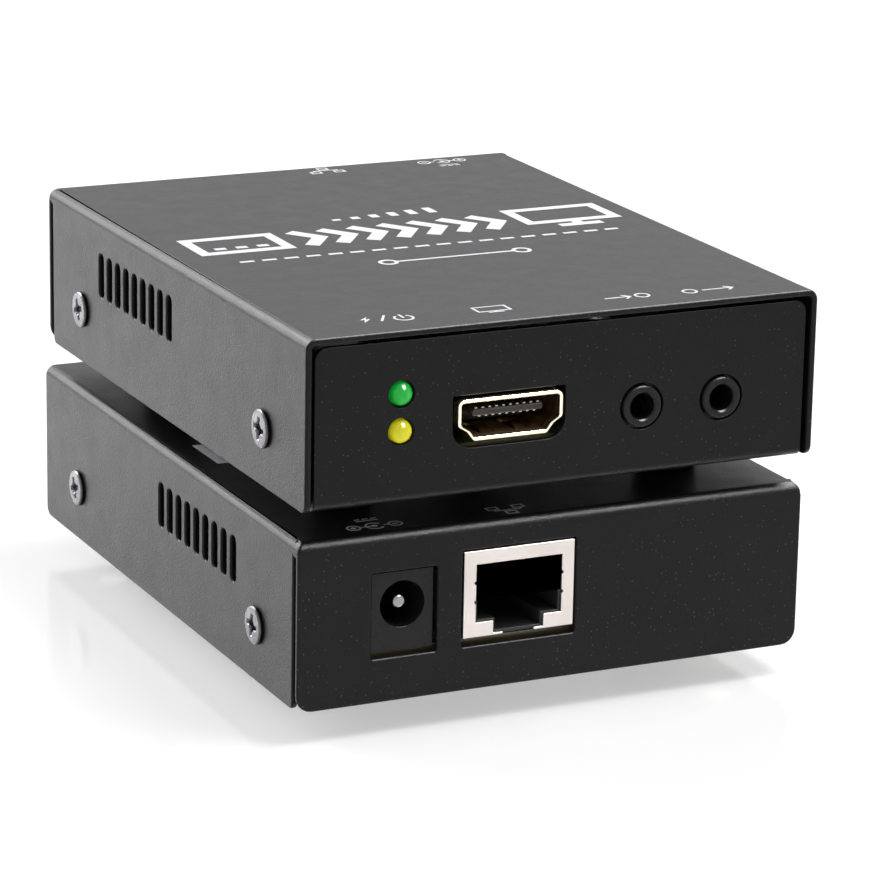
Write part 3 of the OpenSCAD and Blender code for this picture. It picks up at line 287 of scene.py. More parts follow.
floor = bpy.data.objects.new("floor", disc_mesh("floor", FLOOR_RADIUS, FLOOR_SEGMENTS, FLOOR_HEIGHT))
floor.data.materials.append(floor_paint)
bpy.context.scene.collection.objects.link(floor)
print("floor laid")

# %% [markdown]
# ## Shared effects
#
# Several finishes share the same effects, so each effect is a shader node group,
# built once. *Grain* is the pebbled skin of powder coat or moulded plastic.
# *Patches* is a slow change of tone, as of handling and uneven gloss. *Drawn
# lines* are the fine streaks of rolled or brushed metal. *Inside* tells how deep
# a point lies in a socket, for a painted shade that darkens the plate there. Both
# units have their sockets at the same distance from the middle, so one value
# serves for both.

# %% Helper for node groups


def new_group(name, inputs, outputs):
    """Shader node group with named sockets. Inputs map a name to a number, or to None for a vector."""
    group = bpy.data.node_groups.new(name, "ShaderNodeTree")
    for socket, value in inputs.items():
        kind = "NodeSocketVector" if value is None else "NodeSocketFloat"
        made = group.interface.new_socket(name=socket, in_out="INPUT", socket_type=kind)
        if value is not None:
            made.default_value = value
    for socket in outputs:
        group.interface.new_socket(name=socket, in_out="OUTPUT", socket_type="NodeSocketFloat")
    return group, group.nodes.new("NodeGroupInput").outputs, group.nodes.new("NodeGroupOutput").inputs


print("group helper is ready")

# %% Grain: pebbles and flecks
PEBBLE_SHARE = 0.6         # part of the grain's height that the cells make
FINE_SHARE = 0.5           # part that the finer noise makes
FLECK_CELLS = 0.35         # cells that may hold a fleck, to each pebble along a line
FLECK_EDGE = (0.10, 0.16)  # distances from its cell's middle between which a fleck fades out
FLECK_CHANCE = (0.55, 0.75)     # random levels of a cell between which flecks fade in


def grain_group():
    """Pebbled skin: small soft cells over finer noise. Fleck marks a dot in some wider cells."""
    group, given, out = new_group("grain", {"Vector": None, "Size": 0.0004}, ["Height", "Fleck"])
    scale = math_node(group, "DIVIDE", 1.0, given["Size"])
    cells = add(group, "TexVoronoi", {"Vector": given["Vector"], "Scale": scale, "Smoothness": 0.6},
                feature="SMOOTH_F1").outputs["Distance"]
    fine = add(group, "TexNoise", {"Vector": given["Vector"], "Scale": scale, "Detail": 3.0,
                                   "Roughness": 0.6}).outputs["Fac"]
    pebble = math_node(group, "SUBTRACT", 1.0, cells)
    finer = math_node(group, "MULTIPLY", fine, FINE_SHARE)
    height = math_node(group, "MULTIPLY_ADD", pebble, PEBBLE_SHARE, finer)
    group.links.new(height, out["Height"])
    wide = math_node(group, "MULTIPLY", scale, FLECK_CELLS)
    spots = add(group, "TexVoronoi", {"Vector": given["Vector"], "Scale": wide})
    dot = ramp(group, spots.outputs["Distance"], *FLECK_EDGE, 1.0, 0.0)
    some = ramp(group, spots.outputs["Color"], *FLECK_CHANCE)
    group.links.new(math_node(group, "MULTIPLY", dot, some), out["Fleck"])
    return group


GROUPS = {"grain": grain_group()}
print("grain has", len(GROUPS["grain"].nodes), "nodes")

# %% Patches, drawn lines, and depth inside a socket


def patches_group():
    """Slow change of tone between Low and High, from soft noise with finer noise on it."""
    group, given, out = new_group(
        "patches", {"Vector": None, "Size": 0.02, "Low": 0.0, "High": 1.0}, ["Value"])
    scale = math_node(group, "DIVIDE", 1.0, given["Size"])
    cloud = add(group, "TexNoise", {"Vector": given["Vector"], "Scale": scale, "Detail": 4.0,
                                    "Roughness": 0.55}).outputs["Fac"]
    value = add(group, "MapRange", {"Value": cloud, "From Min": 0.3, "From Max": 0.7,
                                    "To Min": given["Low"], "To Max": given["High"]})
    group.links.new(value.outputs[0], out["Value"])
    return group


def lines_group():
    """Fine streaks: noise on points that are squeezed along X and stretched along the other axes."""
    group, given, out = new_group("drawn_lines", {"Vector": None, "Size": 0.0002}, ["Height"])
    scale = math_node(group, "DIVIDE", 1.0, given["Size"])
    squeezed = add(group, "Mapping", {"Vector": given["Vector"], "Scale": (0.04, 1.0, 1.0)}).outputs[0]
    streak = add(group, "TexNoise", {"Vector": squeezed, "Scale": scale, "Detail": 2.0}).outputs["Fac"]
    group.links.new(streak, out["Height"])
    return group


def inside_group():
    """How far a point lies inside a socket: 0 at its mouth, and 1 where |Y| is Depth less than there."""
    group, given, out = new_group("inside", {"Vector": None, "Mouth": 0.047, "Depth": 0.001}, ["Value"])
    along = add(group, "SeparateXYZ", {"Vector": given["Vector"]}).outputs["Y"]
    behind = math_node(group, "SUBTRACT", given["Mouth"], math_node(group, "ABSOLUTE", along))
    value = add(group, "MapRange", {"Value": behind, "From Min": 0.0, "From Max": given["Depth"]})
    group.links.new(value.outputs[0], out["Value"])
    return group


GROUPS.update({"patches": patches_group(), "lines": lines_group(), "inside": inside_group()})
print("node groups:", ", ".join(sorted(GROUPS)))

# %% Placing an effect in a material


def effect(tree, name, **values):
    """Places a shared effect in a material, on Object coordinates, with its own values."""
    made = tree.nodes.new("ShaderNodeGroup")
    made.node_tree = GROUPS[name]
    coords = add(tree, "TexCoord").outputs["Object"]
    tree.links.new(coords, made.inputs["Vector"])
    for socket, value in values.items():
        made.inputs[socket].default_value = value
    return made.outputs


print("effects can be placed")

# %% Material helpers


def new_material(name):
    """Empty material with a Principled shader on its output. Returns material, tree and shader."""
    material = bpy.data.materials.new(name)
    material.use_nodes = True
    tree = material.node_tree
    tree.nodes.clear()
    shader = add(tree, "BsdfPrincipled")
    add(tree, "OutputMaterial", {"Surface": shader.outputs[0]})
    return material, tree, shader


def feed(tree, shader, **sockets):
    """Sets or links the shader's sockets; an underscore in a name stands for a space."""
    for name, value in sockets.items():
        socket = shader.inputs[name.replace("_", " ")]
        if isinstance(value, bpy.types.NodeSocket):
            tree.links.new(value, socket)
        else:
            socket.default_value = value


def bump(tree, height, depth):
    """Normal of a relief: height 0 to 1 stands for depth, in metres."""
    return add(tree, "Bump", {"Height": height, "Distance": depth, "Strength": 1.0}).outputs[0]


print("material helpers are ready")

# %% [markdown]
# ## Powder coat
#
# The cases are sprayed with black powder and baked, which leaves a skin of fine
# pebbles about a quarter of a millimetre across. Seen squarely, it swallows
# light. At a flat angle it shines in a broad grey sheen, and single pebbles
# sparkle. So the base is nearly black, the gloss is broad and weak, and the
# grain does the rest.

# %% Paint for the covers and panels
PEBBLE = 0.00026           # m, size of the pebbles
PEBBLE_DEPTH = 0.00004     # m, their relief
FLECK = (0.060, 0.057, 0.055, 1.0)
SHEEN_TINT = (0.99, 0.96, 1.0, 1.0)


def powder_coat(name, level):
    """Black coat: dark base with paler flecks, uneven gloss and a pebbled normal."""
    material, tree, shader = new_material(name)
    grain = effect(tree, "grain", Size=PEBBLE)
    tone = effect(tree, "patches", Size=0.010, Low=0.90, High=1.10)["Value"]
    gloss = effect(tree, "patches", Size=0.004, Low=0.33, High=0.39)["Value"]
    shade = mix_colour(tree, grain["Fleck"], grey(level), FLECK)
    toned = add(tree, "Mix", {0: 1.0, 6: shade, 7: tone}, data_type="RGBA", blend_type="MULTIPLY")
    feed(tree, shader, Base_Color=toned.outputs[2], Roughness=gloss, Specular_IOR_Level=0.14,
         Specular_Tint=SHEEN_TINT, Normal=bump(tree, grain["Height"], PEBBLE_DEPTH))
    return material


PAINTS = {"case_paint": 0.005, "panel_paint": 0.004}
MATERIALS = {name: powder_coat(name, level) for name, level in PAINTS.items()}
print(len(MATERIALS), "coats are mixed")

# %% [markdown]
# ## Metals
#
# Plated steel keeps the streaks of the rolled sheet under a thin bright plate,
# and its gloss changes a little from place to place. Each metal below is the
# same recipe with its own colour, gloss and depth of streak.

# %% Plated and bare metals
STREAK = 0.0002            # m, width of a streak
STREAK_DEPTH = 0.000004    # m, its relief
WORN_SHARE = 0.15          # how much darker a metal's worn patches are


def metal(name, colour, low, high, depth=STREAK_DEPTH):
    """Metal: patchy gloss between low and high, fine streaks, and a slightly patchy colour."""
    material, tree, shader = new_material(name)
    gloss = effect(tree, "patches", Size=0.003, Low=low, High=high)["Value"]
    age = effect(tree, "patches", Size=0.006, Low=0.0, High=1.0)["Value"]
    worn = tuple(c * (1 - WORN_SHARE) for c in colour[:3]) + (1.0,)
    feed(tree, shader, Base_Color=mix_colour(tree, age, colour, worn), Metallic=1.0, Roughness=gloss,
         Normal=bump(tree, effect(tree, "lines", Size=STREAK)["Height"], depth))
    return material


METALS = {                 # colour, roughness low and high, and the streaks' depth where it differs
    "screw_steel": (grey(0.34), 0.24, 0.36),
    "standoff_brass": ((0.75, 0.72, 0.62, 1), 0.25, 0.38),
    # gilt_contact: gold darkened by painted shade, for contacts deep in the sockets
    "gilt_contact": ((0.50, 0.42, 0.30, 1), 0.22, 0.34),
    "spring_steel": ((0.80, 0.80, 0.78, 1), 0.15, 0.25),
    # pin_plating: plate darkened by painted shade, for a pin deep in its bore
    "pin_plating": ((0.30, 0.30, 0.29, 1), 0.10, 0.18, STREAK_DEPTH / 2),
    "tinned_shield": ((0.62, 0.57, 0.54, 1), 0.28, 0.42),
    "sink_aluminium": (grey(0.55), 0.35, 0.50),
    "can_aluminium": (grey(0.50), 0.30, 0.42),
    "can_steel": (grey(0.72), 0.18, 0.30),
}
for name, recipe in METALS.items():
    MATERIALS[name] = metal(name, *recipe)
print(len(MATERIALS), "materials so far")

# %% [markdown]
# ## Gilt shell of the video socket
#
# The plate is bright on the rim. Deeper in the socket a painted shade turns it
# brown and dark. The *Inside* effect makes that mask from the place alone.

# %% Gilt shell, bright at its mouth, with painted shade inside
SHELL_MOUTH = abs(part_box("receiver_video_shell")[0].y)
PAINTED_SHADE_DEPTH = 0.0016        # m behind the mouth at which the painted shade is full


def gilt_shell():
    """Thin gold plate, pale and bright on the rim. Deeper in it is rougher, and painted shade browns and
    darkens it.
    """
    material, tree, shader = new_material("gilt_shell")
    deep = effect(tree, "inside", Mouth=SHELL_MOUTH, Depth=PAINTED_SHADE_DEPTH)["Value"]
    age = effect(tree, "patches", Size=0.002, Low=0.0, High=1.0)["Value"]
    # painted shade: brown, dark plate for the depth of the socket, patchy in tone
    painted_shade_colour = mix_colour(tree, age, (0.50, 0.27, 0.10, 1), (0.20, 0.10, 0.04, 1))
    colour = mix_colour(tree, deep, (0.96, 0.86, 0.66, 1), painted_shade_colour)
    feed(tree, shader, Base_Color=colour, Metallic=1.0, Roughness=ramp(tree, deep, 0.0, 1.0, 0.20, 0.34),
         Normal=bump(tree, effect(tree, "lines", Size=STREAK)["Height"], STREAK_DEPTH))
    return material


MATERIALS["gilt_shell"] = gilt_shell()
print("the shell's mouth is %.2f mm from the middle" % (SHELL_MOUTH / MM))

# %% [markdown]
# ## Plastics, rubber and board
#
# Moulded plastic has a much finer grain than the paint and a more even gloss.
# Rubber is duller still. The board is green lacquer over woven glass, so its
# relief is a weave of two crossing waves. Its cut edges have no lacquer and show
# the brown resin.

# %% Moulded plastics and rubber
PALER = 1.4                # how many times paler the palest patches are


def moulded(name, level, low, high, specular=0.25, size=0.00015, depth=0.000008):
    """Dark moulded piece: fine grain, soft patches of gloss and tone."""
    material, tree, shader = new_material(name)
    grain = effect(tree, "grain", Size=size)["Height"]
    gloss = effect(tree, "patches", Size=0.003, Low=low, High=high)["Value"]
    tone = effect(tree, "patches", Size=0.005, Low=0.0, High=1.0)["Value"]
    feed(tree, shader, Base_Color=mix_colour(tree, tone, grey(level), grey(level * PALER)),
         Roughness=gloss, Specular_IOR_Level=specular, Normal=bump(tree, grain, depth))
    return material


MOULDED = {                # tone, roughness low and high, and for some specular, grain size and depth
    "black_plastic": (0.016, 0.38, 0.50),
    "jack_plastic": (0.008, 0.22, 0.34, 0.17),
    "chip_resin": (0.030, 0.50, 0.62),
    "coil_ferrite": (0.060, 0.55, 0.70, 0.25, 0.0002, 0.00002),
    "foot_rubber": (0.020, 0.65, 0.80, 0.25, 0.0003, 0.00002),
}
for name, recipe in MOULDED.items():
    MATERIALS[name] = moulded(name, *recipe)
print(len(MATERIALS), "materials so far")

# %% Board lacquer
WEAVE_SCALE = 450.0
WEAVE_DEPTH = 0.00001      # m
TRACK_SCALE = 260.0


def board_material():
    """Green lacquer over a glass weave, with paler copper tracks under it."""
    material, tree, shader = new_material("board_laminate")
    coords = add(tree, "TexCoord").outputs["Object"]
    waves = [add(tree, "TexWave", {"Vector": coords, "Scale": WEAVE_SCALE, "Distortion": 0.4},
                 bands_direction=axis).outputs["Fac"] for axis in ("X", "Y")]
    weave = math_node(tree, "MULTIPLY", *waves)
    tracks = add(tree, "TexBrick", {"Vector": coords, "Scale": TRACK_SCALE, "Mortar Size": 0.06,
                                    "Color1": grey(0.0), "Color2": grey(0.0), "Mortar": grey(1.0)})
    lacquer = mix_colour(tree, tracks.outputs["Color"], (0.006, 0.050, 0.022, 1), (0.015, 0.10, 0.04, 1))
    upright = add(tree, "SeparateXYZ", {"Vector": add(tree, "NewGeometry").outputs["True Normal"]})
    facing_up = math_node(tree, "ABSOLUTE", upright.outputs["Z"])
    colour = mix_colour(tree, facing_up, (0.13, 0.11, 0.06, 1), lacquer)
    gloss = effect(tree, "patches", Size=0.004, Low=0.25, High=0.40)["Value"]
    feed(tree, shader, Base_Color=colour, Roughness=gloss, Normal=bump(tree, weave, WEAVE_DEPTH))
    return material


MATERIALS["board_laminate"] = board_material()
print(len(MATERIALS), "materials so far")

# %% [markdown]
# ## Indicator lights
#
# Each light is a dome of tinted resin with a milky filler, so that it glows from
# within when lit. Unlit, it looks like a boiled sweet: the colour comes from
# under the surface, and a clear gloss lies on top. A little subsurface scatter
# gives the first, helped by a weak painted glow of the same colour, though the
# light is off. A smooth surface gives the second.

# %% Tinted lenses
LENS_PAINTED_GLOW = 0.30           # share of the colour given off as painted glow, though the light is off


def lens(name, deep, pale):
    """Tinted dome: colour from under the surface, paler in soft patches, a painted glow, and a glossy
    top.
    """
    material, tree, shader = new_material(name)
    haze = effect(tree, "patches", Size=0.0015, Low=0.0, High=0.6)["Value"]
    ripple = effect(tree, "grain", Size=0.0012)["Height"]
    colour = mix_colour(tree, haze, deep, pale)
    # the emission is a painted glow of the lens colour
    feed(tree, shader, Base_Color=colour, Roughness=0.16, Specular_IOR_Level=0.35,
         Subsurface_Weight=0.25, Subsurface_Scale=0.0008, Emission_Color=colour,
         Emission_Strength=LENS_PAINTED_GLOW, Normal=bump(tree, ripple, 0.000006))
    return material


MATERIALS["green_lens"] = lens("green_lens", (0.002, 0.30, 0.02, 1), (0.012, 0.42, 0.06, 1))
MATERIALS["yellow_lens"] = lens("yellow_lens", (0.52, 0.48, 0.002, 1), (0.66, 0.62, 0.02, 1))
print(len(MATERIALS), "materials so far")

# %% [markdown]
# ## Finishes on the CAD nodes
#
# The record names a material slot for each node. A node keeps its mesh and only
# gets the material of that slot, so nothing is fitted or moved.

# %% Every CAD node gets the finish of its slot
slot_of = {row["node"]: row["material_slot"] for row in frame["record"]["subparts"]}
for name, node in frame["nodes"].items():
    node.data.materials.clear()
    node.data.materials.append(MATERIALS[slot_of[name]])
print("finishes set on", len(frame["nodes"]), "nodes")

# %% [markdown]
# ## Edges that catch the light
#
# Punched sheet and thick paint have no knife edges: each edge is a narrow round
# that catches a bright line. The CAD has those edges sharp, so the pieces that
# show get a copy of their CAD mesh with every sharp edge rounded. The copy is
# merged first, its flat faces are joined, and then each edge that bends by more
# than a limit is cut back and rounded. Where a rounded corner meets a narrow
# strip, Blender's bevel can throw a point far outside, so a point that ends up
# farther from the old surface than the rounding reaches goes back onto it.

# %% Rounded copies of CAD nodes
SHARP = math.radians(28)   # an edge that bends by more is rounded
MERGED = 1e-6              # m, points closer than this are one
FLAT = 0.002               # radians, faces that bend by less are joined
BEVEL_STEPS = 2
STRAY = 1.2                # a point may leave the old surface by this many times the rounding
INK_ROOM = 0.02            # mm that a cover's top gives way, so that the print stays inside the size


def put_back_strays(shape, surface, reach):
    """Moves each point that lies farther than reach from a surface to its nearest place there."""
    count = 0
    for vertex in shape.verts:
        place, _, _, distance = surface.find_nearest(vertex.co)
        if distance > reach:
            vertex.co = place
            count += 1
    return count


def rounded_copy(node_name, piece_name, width):
    """Copy of a CAD node with its sharp edges rounded by width, in mm. Returns the points put back."""
    source = frame["nodes"][node_name]
    shape = bmesh.new()
    shape.from_mesh(source.data)
    bmesh.ops.remove_doubles(shape, verts=shape.verts, dist=MERGED)
    bmesh.ops.dissolve_limit(shape, angle_limit=FLAT, verts=shape.verts, edges=shape.edges,
                             use_dissolve_boundaries=False, delimit=set())
    surface = BVHTree.FromBMesh(shape)
    sharp = [e for e in shape.edges if len(e.link_faces) == 2 and e.calc_face_angle(0) > SHARP]
    bmesh.ops.bevel(shape, geom=sharp, offset=width * MM, offset_type="OFFSET", segments=BEVEL_STEPS,
                    profile=0.5, affect="EDGES", clamp_overlap=False, miter_outer="ARC")
    strays = put_back_strays(shape, surface, STRAY * width * MM)
    if node_name.endswith("_cover"):
        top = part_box(node_name)[1].z - INK_ROOM * MM
        for vertex in shape.verts:
            vertex.co.z = min(vertex.co.z, top)
    mesh = bpy.data.meshes.new(piece_name)
    shape.to_mesh(mesh)
    shape.free()
    mesh.shade_smooth()
    mesh.materials.append(MATERIALS[slot_of[node_name]])
    piece = bpy.data.objects.new(piece_name, mesh)
    bpy.context.scene.collection.objects.link(piece)
    even = piece.modifiers.new("even_shading", "WEIGHTED_NORMAL")
    even.keep_sharp = True
    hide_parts(node_name)
    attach(piece, source["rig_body"])
    return strays


ROUNDED = {                # mm, rounding of each part's edges
    "cover": 0.28, "chassis": 0.12, "video_shell": 0.06, "video_tongue": 0.25,
    "network_shield": 0.06, "power_body": 0.10, "power_pin": 0.30, "network_housing": 0.06}
for unit in FACING:
    strays = {}
    for part, width in ROUNDED.items():
        strays[part] = rounded_copy("%s_%s" % (unit, part), "%s_%s_rounded" % (unit, part), width)
    print(unit, "has", len(ROUNDED), "pieces with rounded edges; points put back:", strays)

# %% [markdown]
# ## Surfaces on a grid
#
# The next pieces are worked out with numpy. A surface is a function of two
# parameters: whole arrays of both go in, and an array of points comes out. One
# helper joins neighbouring points into faces, and another makes the mesh, merges
# the points that meet at a seam or a pole, and turns every face outwards.

# %% From arrays to a closed mesh
SEAM = 1e-7                # m, points of a seam or a pole that are closer than this are one


def grid_faces(rows, columns, start=0):
    """Quads of a grid whose columns close into a ring: each joins a point to its three neighbours."""
    row, column = np.meshgrid(np.arange(rows - 1), np.arange(columns), indexing="ij")
    after = (column + 1) % columns
    corners = [row * columns + column, row * columns + after,
               (row + 1) * columns + after, (row + 1) * columns + column]
    return np.stack(corners, -1).reshape(-1, 4) + start


def closed_piece(name, points, faces, material, body, bend=30.0):
    """Piece made of closed shells, with its points in metres.

    Edges that bend by more than bend, in degrees, stay sharp."""
    shape = bmesh.new()
    mesh = bpy.data.meshes.new(name)
    mesh.from_pydata(np.asarray(points).tolist(), [], [list(f) for f in faces])
    shape.from_mesh(mesh)
    bmesh.ops.remove_doubles(shape, verts=shape.verts, dist=SEAM)
    bmesh.ops.recalc_face_normals(shape, faces=shape.faces)
    shape.to_mesh(mesh)
    shape.free()
    mesh.shade_smooth()
    mesh.set_sharp_from_angle(angle=math.radians(bend))
    mesh.materials.append(material)
    piece = bpy.data.objects.new(name, mesh)
    bpy.context.scene.collection.objects.link(piece)
    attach(piece, body)
    return piece


print("grid helpers are ready")

# %% [markdown]
# ## Closed corners of the covers
#
# Where the folds of the side and of the power panel meet, the sheet has a small
# relief, and paint closes it to a soft corner. The plug that fills it must follow
# both folds at once. A ball would be too round, so its level cuts are squares
# with soft corners that shrink upwards by the same quarter circle as the folds.

# %% Soft corners over the power panel
FOLD_R = 1.5               # mm, outer radius of the cover's folds
SQUARENESS = 0.3           # 1 is a round level cut, and 0 a sharp square
CORNER_AROUND = 64         # points along a level cut
CORNER_LEVELS = 25         # level cuts, from pole to pole


def soft_corner(x, y, z):
    """Squared ball round a centre, and its faces.

    Seen from the side it is a circle: cosine outwards and sine upwards. Along a level cut both
    cosine and sine are raised to a small power and keep their sign, which pushes the points out
    towards the corners of a square."""
    around = np.linspace(0, 2 * np.pi, CORNER_AROUND, endpoint=False)
    v, u = np.meshgrid(np.linspace(-np.pi / 2, np.pi / 2, CORNER_LEVELS), around, indexing="ij")
    across = np.sign(np.cos(u)) * np.abs(np.cos(u)) ** SQUARENESS
    along = np.sign(np.sin(u)) * np.abs(np.sin(u)) ** SQUARENESS
    ball = np.stack([np.cos(v) * across, np.cos(v) * along, np.sin(v)], -1)
    return np.array([x, y, z]) + FOLD_R * ball.reshape(-1, 3), grid_faces(CORNER_LEVELS, CORNER_AROUND)


for unit in FACING:
    points, faces = [], []
    for side in (-1, 1):
        local, quads = soft_corner(side * (case_w / 2 - FOLD_R), case_d / 2 - FOLD_R,
                                   case_h - INK_ROOM - FOLD_R)
        faces.append(quads + sum(len(p) for p in points))
        points.append(local)
    piece = closed_piece(unit + "_cover_corners", to_frame(unit, np.concatenate(points)),
                         np.concatenate(faces), MATERIALS["case_paint"],
                         frame["nodes"][unit + "_cover"]["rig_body"], 60.0)
    print(piece.name, len(piece.data.polygons), "faces")

# %% [markdown]
# ## Cover screws
#
# Each side of a case has two pan head screws with a cross recess. The head is
# turned and the recess is pressed in by a cold punch, so its walls slope and its
# middle is deepest. A drilled cross would look flat and sharp, so here the whole
# screw is one turned surface, and the recess is a second function that lowers
# the head's points.

# %% Profile of a turned screw
HEAD_R = 2.65              # mm, radius of the head
HEAD_RISE = 0.70           # height of the head's middle above its seat
CROWN = 0.10               # how far the head's middle stands above its shoulder
EDGE = 0.34                # rounding of the head's edge
CROWN_POINTS = 44          # points of the profile from the middle to the shoulder
EDGE_POINTS = 8            # points round its edge, with the shoulder's own
SHANK_R = 1.43
SHANK_LENGTH = 5.0
TIP_BEVEL = 0.2            # how much is cut off round the shank's tip


def screw_profile():
    """Radius and height from the head's middle over its round edge, down the shank to its tip.

    The crown falls with the square of the radius, and the edge is a quarter circle."""
    flat = np.linspace(0, HEAD_R - EDGE, CROWN_POINTS)
    crown = HEAD_RISE - CROWN * (flat / (HEAD_R - EDGE)) ** 2
    turn = np.linspace(0, np.pi / 2, EDGE_POINTS)[1:]
    edge_r = HEAD_R - EDGE + EDGE * np.sin(turn)
    edge_z = HEAD_RISE - CROWN - EDGE + EDGE * np.cos(turn)
    rest_r = [HEAD_R, SHANK_R, SHANK_R, SHANK_R - TIP_BEVEL, 0]
    rest_z = [0, 0, TIP_BEVEL - SHANK_LENGTH, -SHANK_LENGTH, -SHANK_LENGTH]
    return np.concatenate([flat, edge_r, rest_r]), np.concatenate([crown, edge_z, rest_z])


print("the profile has", len(screw_profile()[0]), "points")

# %% Pressed recess
RECESS_REACH = 1.62        # mm, from the middle to the end of an arm
RECESS_DEPTH = 0.62
ARM_HALF = 0.46            # half of an arm's width at the middle
ARM_TAPER = 0.10           # how much of that is gone at its end
WALL_RUN = 0.14            # breadth over which a wall slopes down to the full depth
END_RUN = 0.9              # length over which the floor climbs to an arm's end
END_CURVE = 0.6            # below 1 the climb is steeper at the end
PIT_R = 0.95               # round pit in the middle
PIT_RUN = 0.45             # breadth over which its wall slopes
PIT_DEPTH = RECESS_DEPTH * 1.05


def recess(across, along):
    """Depth pressed in at a point: an arm narrows outwards, and its walls and floor slope.

    In an arm, depth grows with the distance to its wall and falls towards its end. A round pit
    in the middle joins the four arms."""
    depth = np.zeros_like(across)
    for run, side in ((np.abs(along), np.abs(across)), (np.abs(across), np.abs(along))):
        half = ARM_HALF - ARM_TAPER * run / RECESS_REACH
        wall = np.clip((half - side) / WALL_RUN, 0, 1)
        climb = np.clip((RECESS_REACH - run) / END_RUN, 0, 1) ** END_CURVE
        depth = np.maximum(depth, RECESS_DEPTH * wall * climb)
    pit = np.clip((PIT_R - np.hypot(across, along)) / PIT_RUN, 0, 1)
    return np.maximum(depth, PIT_DEPTH * pit)


print("the recess is %.2f mm deep in its middle" % recess(np.zeros(1), np.zeros(1))[0])

# %% One whole screw
SPOKES = 96                # points round the screw


def screw_points(turned):
    """Points of one screw along +Z: the profile turned round it, less the recess on its head."""
    radius, height = screw_profile()
    angle = np.linspace(0, 2 * np.pi, SPOKES, endpoint=False)
    r, a = np.meshgrid(radius, angle, indexing="ij")
    across, along = r * np.cos(a), r * np.sin(a)
    z = np.repeat(height[:, None], SPOKES, axis=1)
    on_head = (np.arange(len(radius)) < CROWN_POINTS)[:, None]
    c, s = math.cos(turned), math.sin(turned)
    z = z - on_head * recess(c * across + s * along, c * along - s * across)
    return np.stack([across, along, z], -1).reshape(-1, 3), len(radius)


print("one screw has", len(screw_points(0.0)[0]), "points")

# %% [markdown]
# ## Zinc plate of the screws, with painted shade
#
# The heads are grey. Low on their edge, in the crack beside the cover, and in the
# floor of the cross recess, painted shade turns them nearly black. A ramp on the
# distance from the case's side draws that line.

# %% Finish of the cover screws
PAINTED_SHADE_RISE = (0.30 * MM, 0.50 * MM)      # heights above the side between which black turns to grey


def screw_finish():
    """Zinc plate: grey on the head, with painted shade, nearly black, low on its edge and in its recess.
    """
    material, tree, shader = new_material("screw_plate_and_painted_shade")
    side = add(tree, "SeparateXYZ", {"Vector": add(tree, "TexCoord").outputs["Object"]}).outputs["X"]
    out = math_node(tree, "SUBTRACT", math_node(tree, "ABSOLUTE", side), (case_w / 2) * MM)
    # painted shade: nearly black low on the head's edge, beside the cover, and in the recess floor
    above_painted_shade = ramp(tree, out, *PAINTED_SHADE_RISE)
    age = effect(tree, "patches", Size=0.002, Low=0.0, High=1.0)["Value"]
    plate = mix_colour(tree, age, (0.125, 0.12, 0.13, 1), (0.09, 0.085, 0.095, 1))
    feed(tree, shader, Base_Color=mix_colour(tree, above_painted_shade, grey(0.012), plate), Metallic=1.0,
         Roughness=effect(tree, "patches", Size=0.001, Low=0.22, High=0.38)["Value"],
         Normal=bump(tree, effect(tree, "grain", Size=0.0003)["Height"], 0.00001))
    return material


screw_plate_and_painted_shade = screw_finish()
print("screw finish is mixed")

# %% Place the screws
SCREW_TURNS = (0.12, -0.32, 0.55, 0.30)      # radians, as a hand leaves them


def screw_set(unit):
    """Four screws, each with its axis along X and its seat on the side of the cover."""
    low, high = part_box(unit + "_cover_screws")
    y_low, y_high = low.y + HEAD_R * MM, high.y - HEAD_R * MM
    z = (low.z + high.z) / 2
    points, faces = [], []
    spots = [(side, y) for side in (-1, 1) for y in (y_low, y_high)]
    for (side, y), turned in zip(spots, SCREW_TURNS):
        local, rings = screw_points(turned)
        out, along, up = local[:, 2], local[:, 0], local[:, 1]
        seat = side * (case_w / 2) * MM
        place = np.stack([seat + side * out * MM, y + along * MM, z + up * MM], -1)
        faces.append(grid_faces(rings, SPOKES, len(points) * len(local)))
        points.append(place)
    piece = closed_piece(unit + "_cover_screws_turned", np.concatenate(points), np.concatenate(faces),
                         screw_plate_and_painted_shade, frame["nodes"][unit + "_cover_screws"]["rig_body"], 50.0)
    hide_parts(unit + "_cover_screws")
    return piece


for unit in FACING:
    made = screw_set(unit)
    print(made.name, len(made.data.polygons), "faces")

# %% [markdown]
# ## Printed marks
#
# The top carries white screen printing: a mark at each socket, and a large row in
# the middle. Printing is a skin of ink, thinner than a hair, that keeps the relief
# of the paint below. It could be a mask in the paint's material, but strokes as
# thin plates keep crisp edges at any distance. A stroke is a path with a width:
# each point of the path goes half the width to both sides, along the line that
# halves its corner.

# %% Both edges of a stroke


def sides(path, width, closed):
    """Both edges of a stroke: each point is pushed along its corner's halving line.

    The push is half the width over the cosine of half the corner's bend, so that the stroke
    keeps its width through a corner."""
    path = np.asarray(path, float)
    steps = np.roll(path, -1, axis=0) - path
    steps /= np.maximum(np.linalg.norm(steps, axis=1, keepdims=True), 1e-9)
    after = np.stack([-steps[:, 1], steps[:, 0]], -1)
    if not closed:
        after[-1] = after[-2]
    before = np.roll(after, 1, axis=0)
    if not closed:
        before[0] = after[0]
    middle = before + after
    middle /= np.linalg.norm(middle, axis=1, keepdims=True)
    push = middle * (width / 2) / np.sum(middle * after, axis=1, keepdims=True)
    return path + push, path - push


print("edges start at", *(edge[0] for edge in sides([(0, 0), (1, 0)], 0.2, False)))

# %% Plates, strokes and rings of ink
INK_RISE = 0.015           # mm that the ink stands above the paint
INK_SUNK = 0.005           # mm that it reaches down into the paint


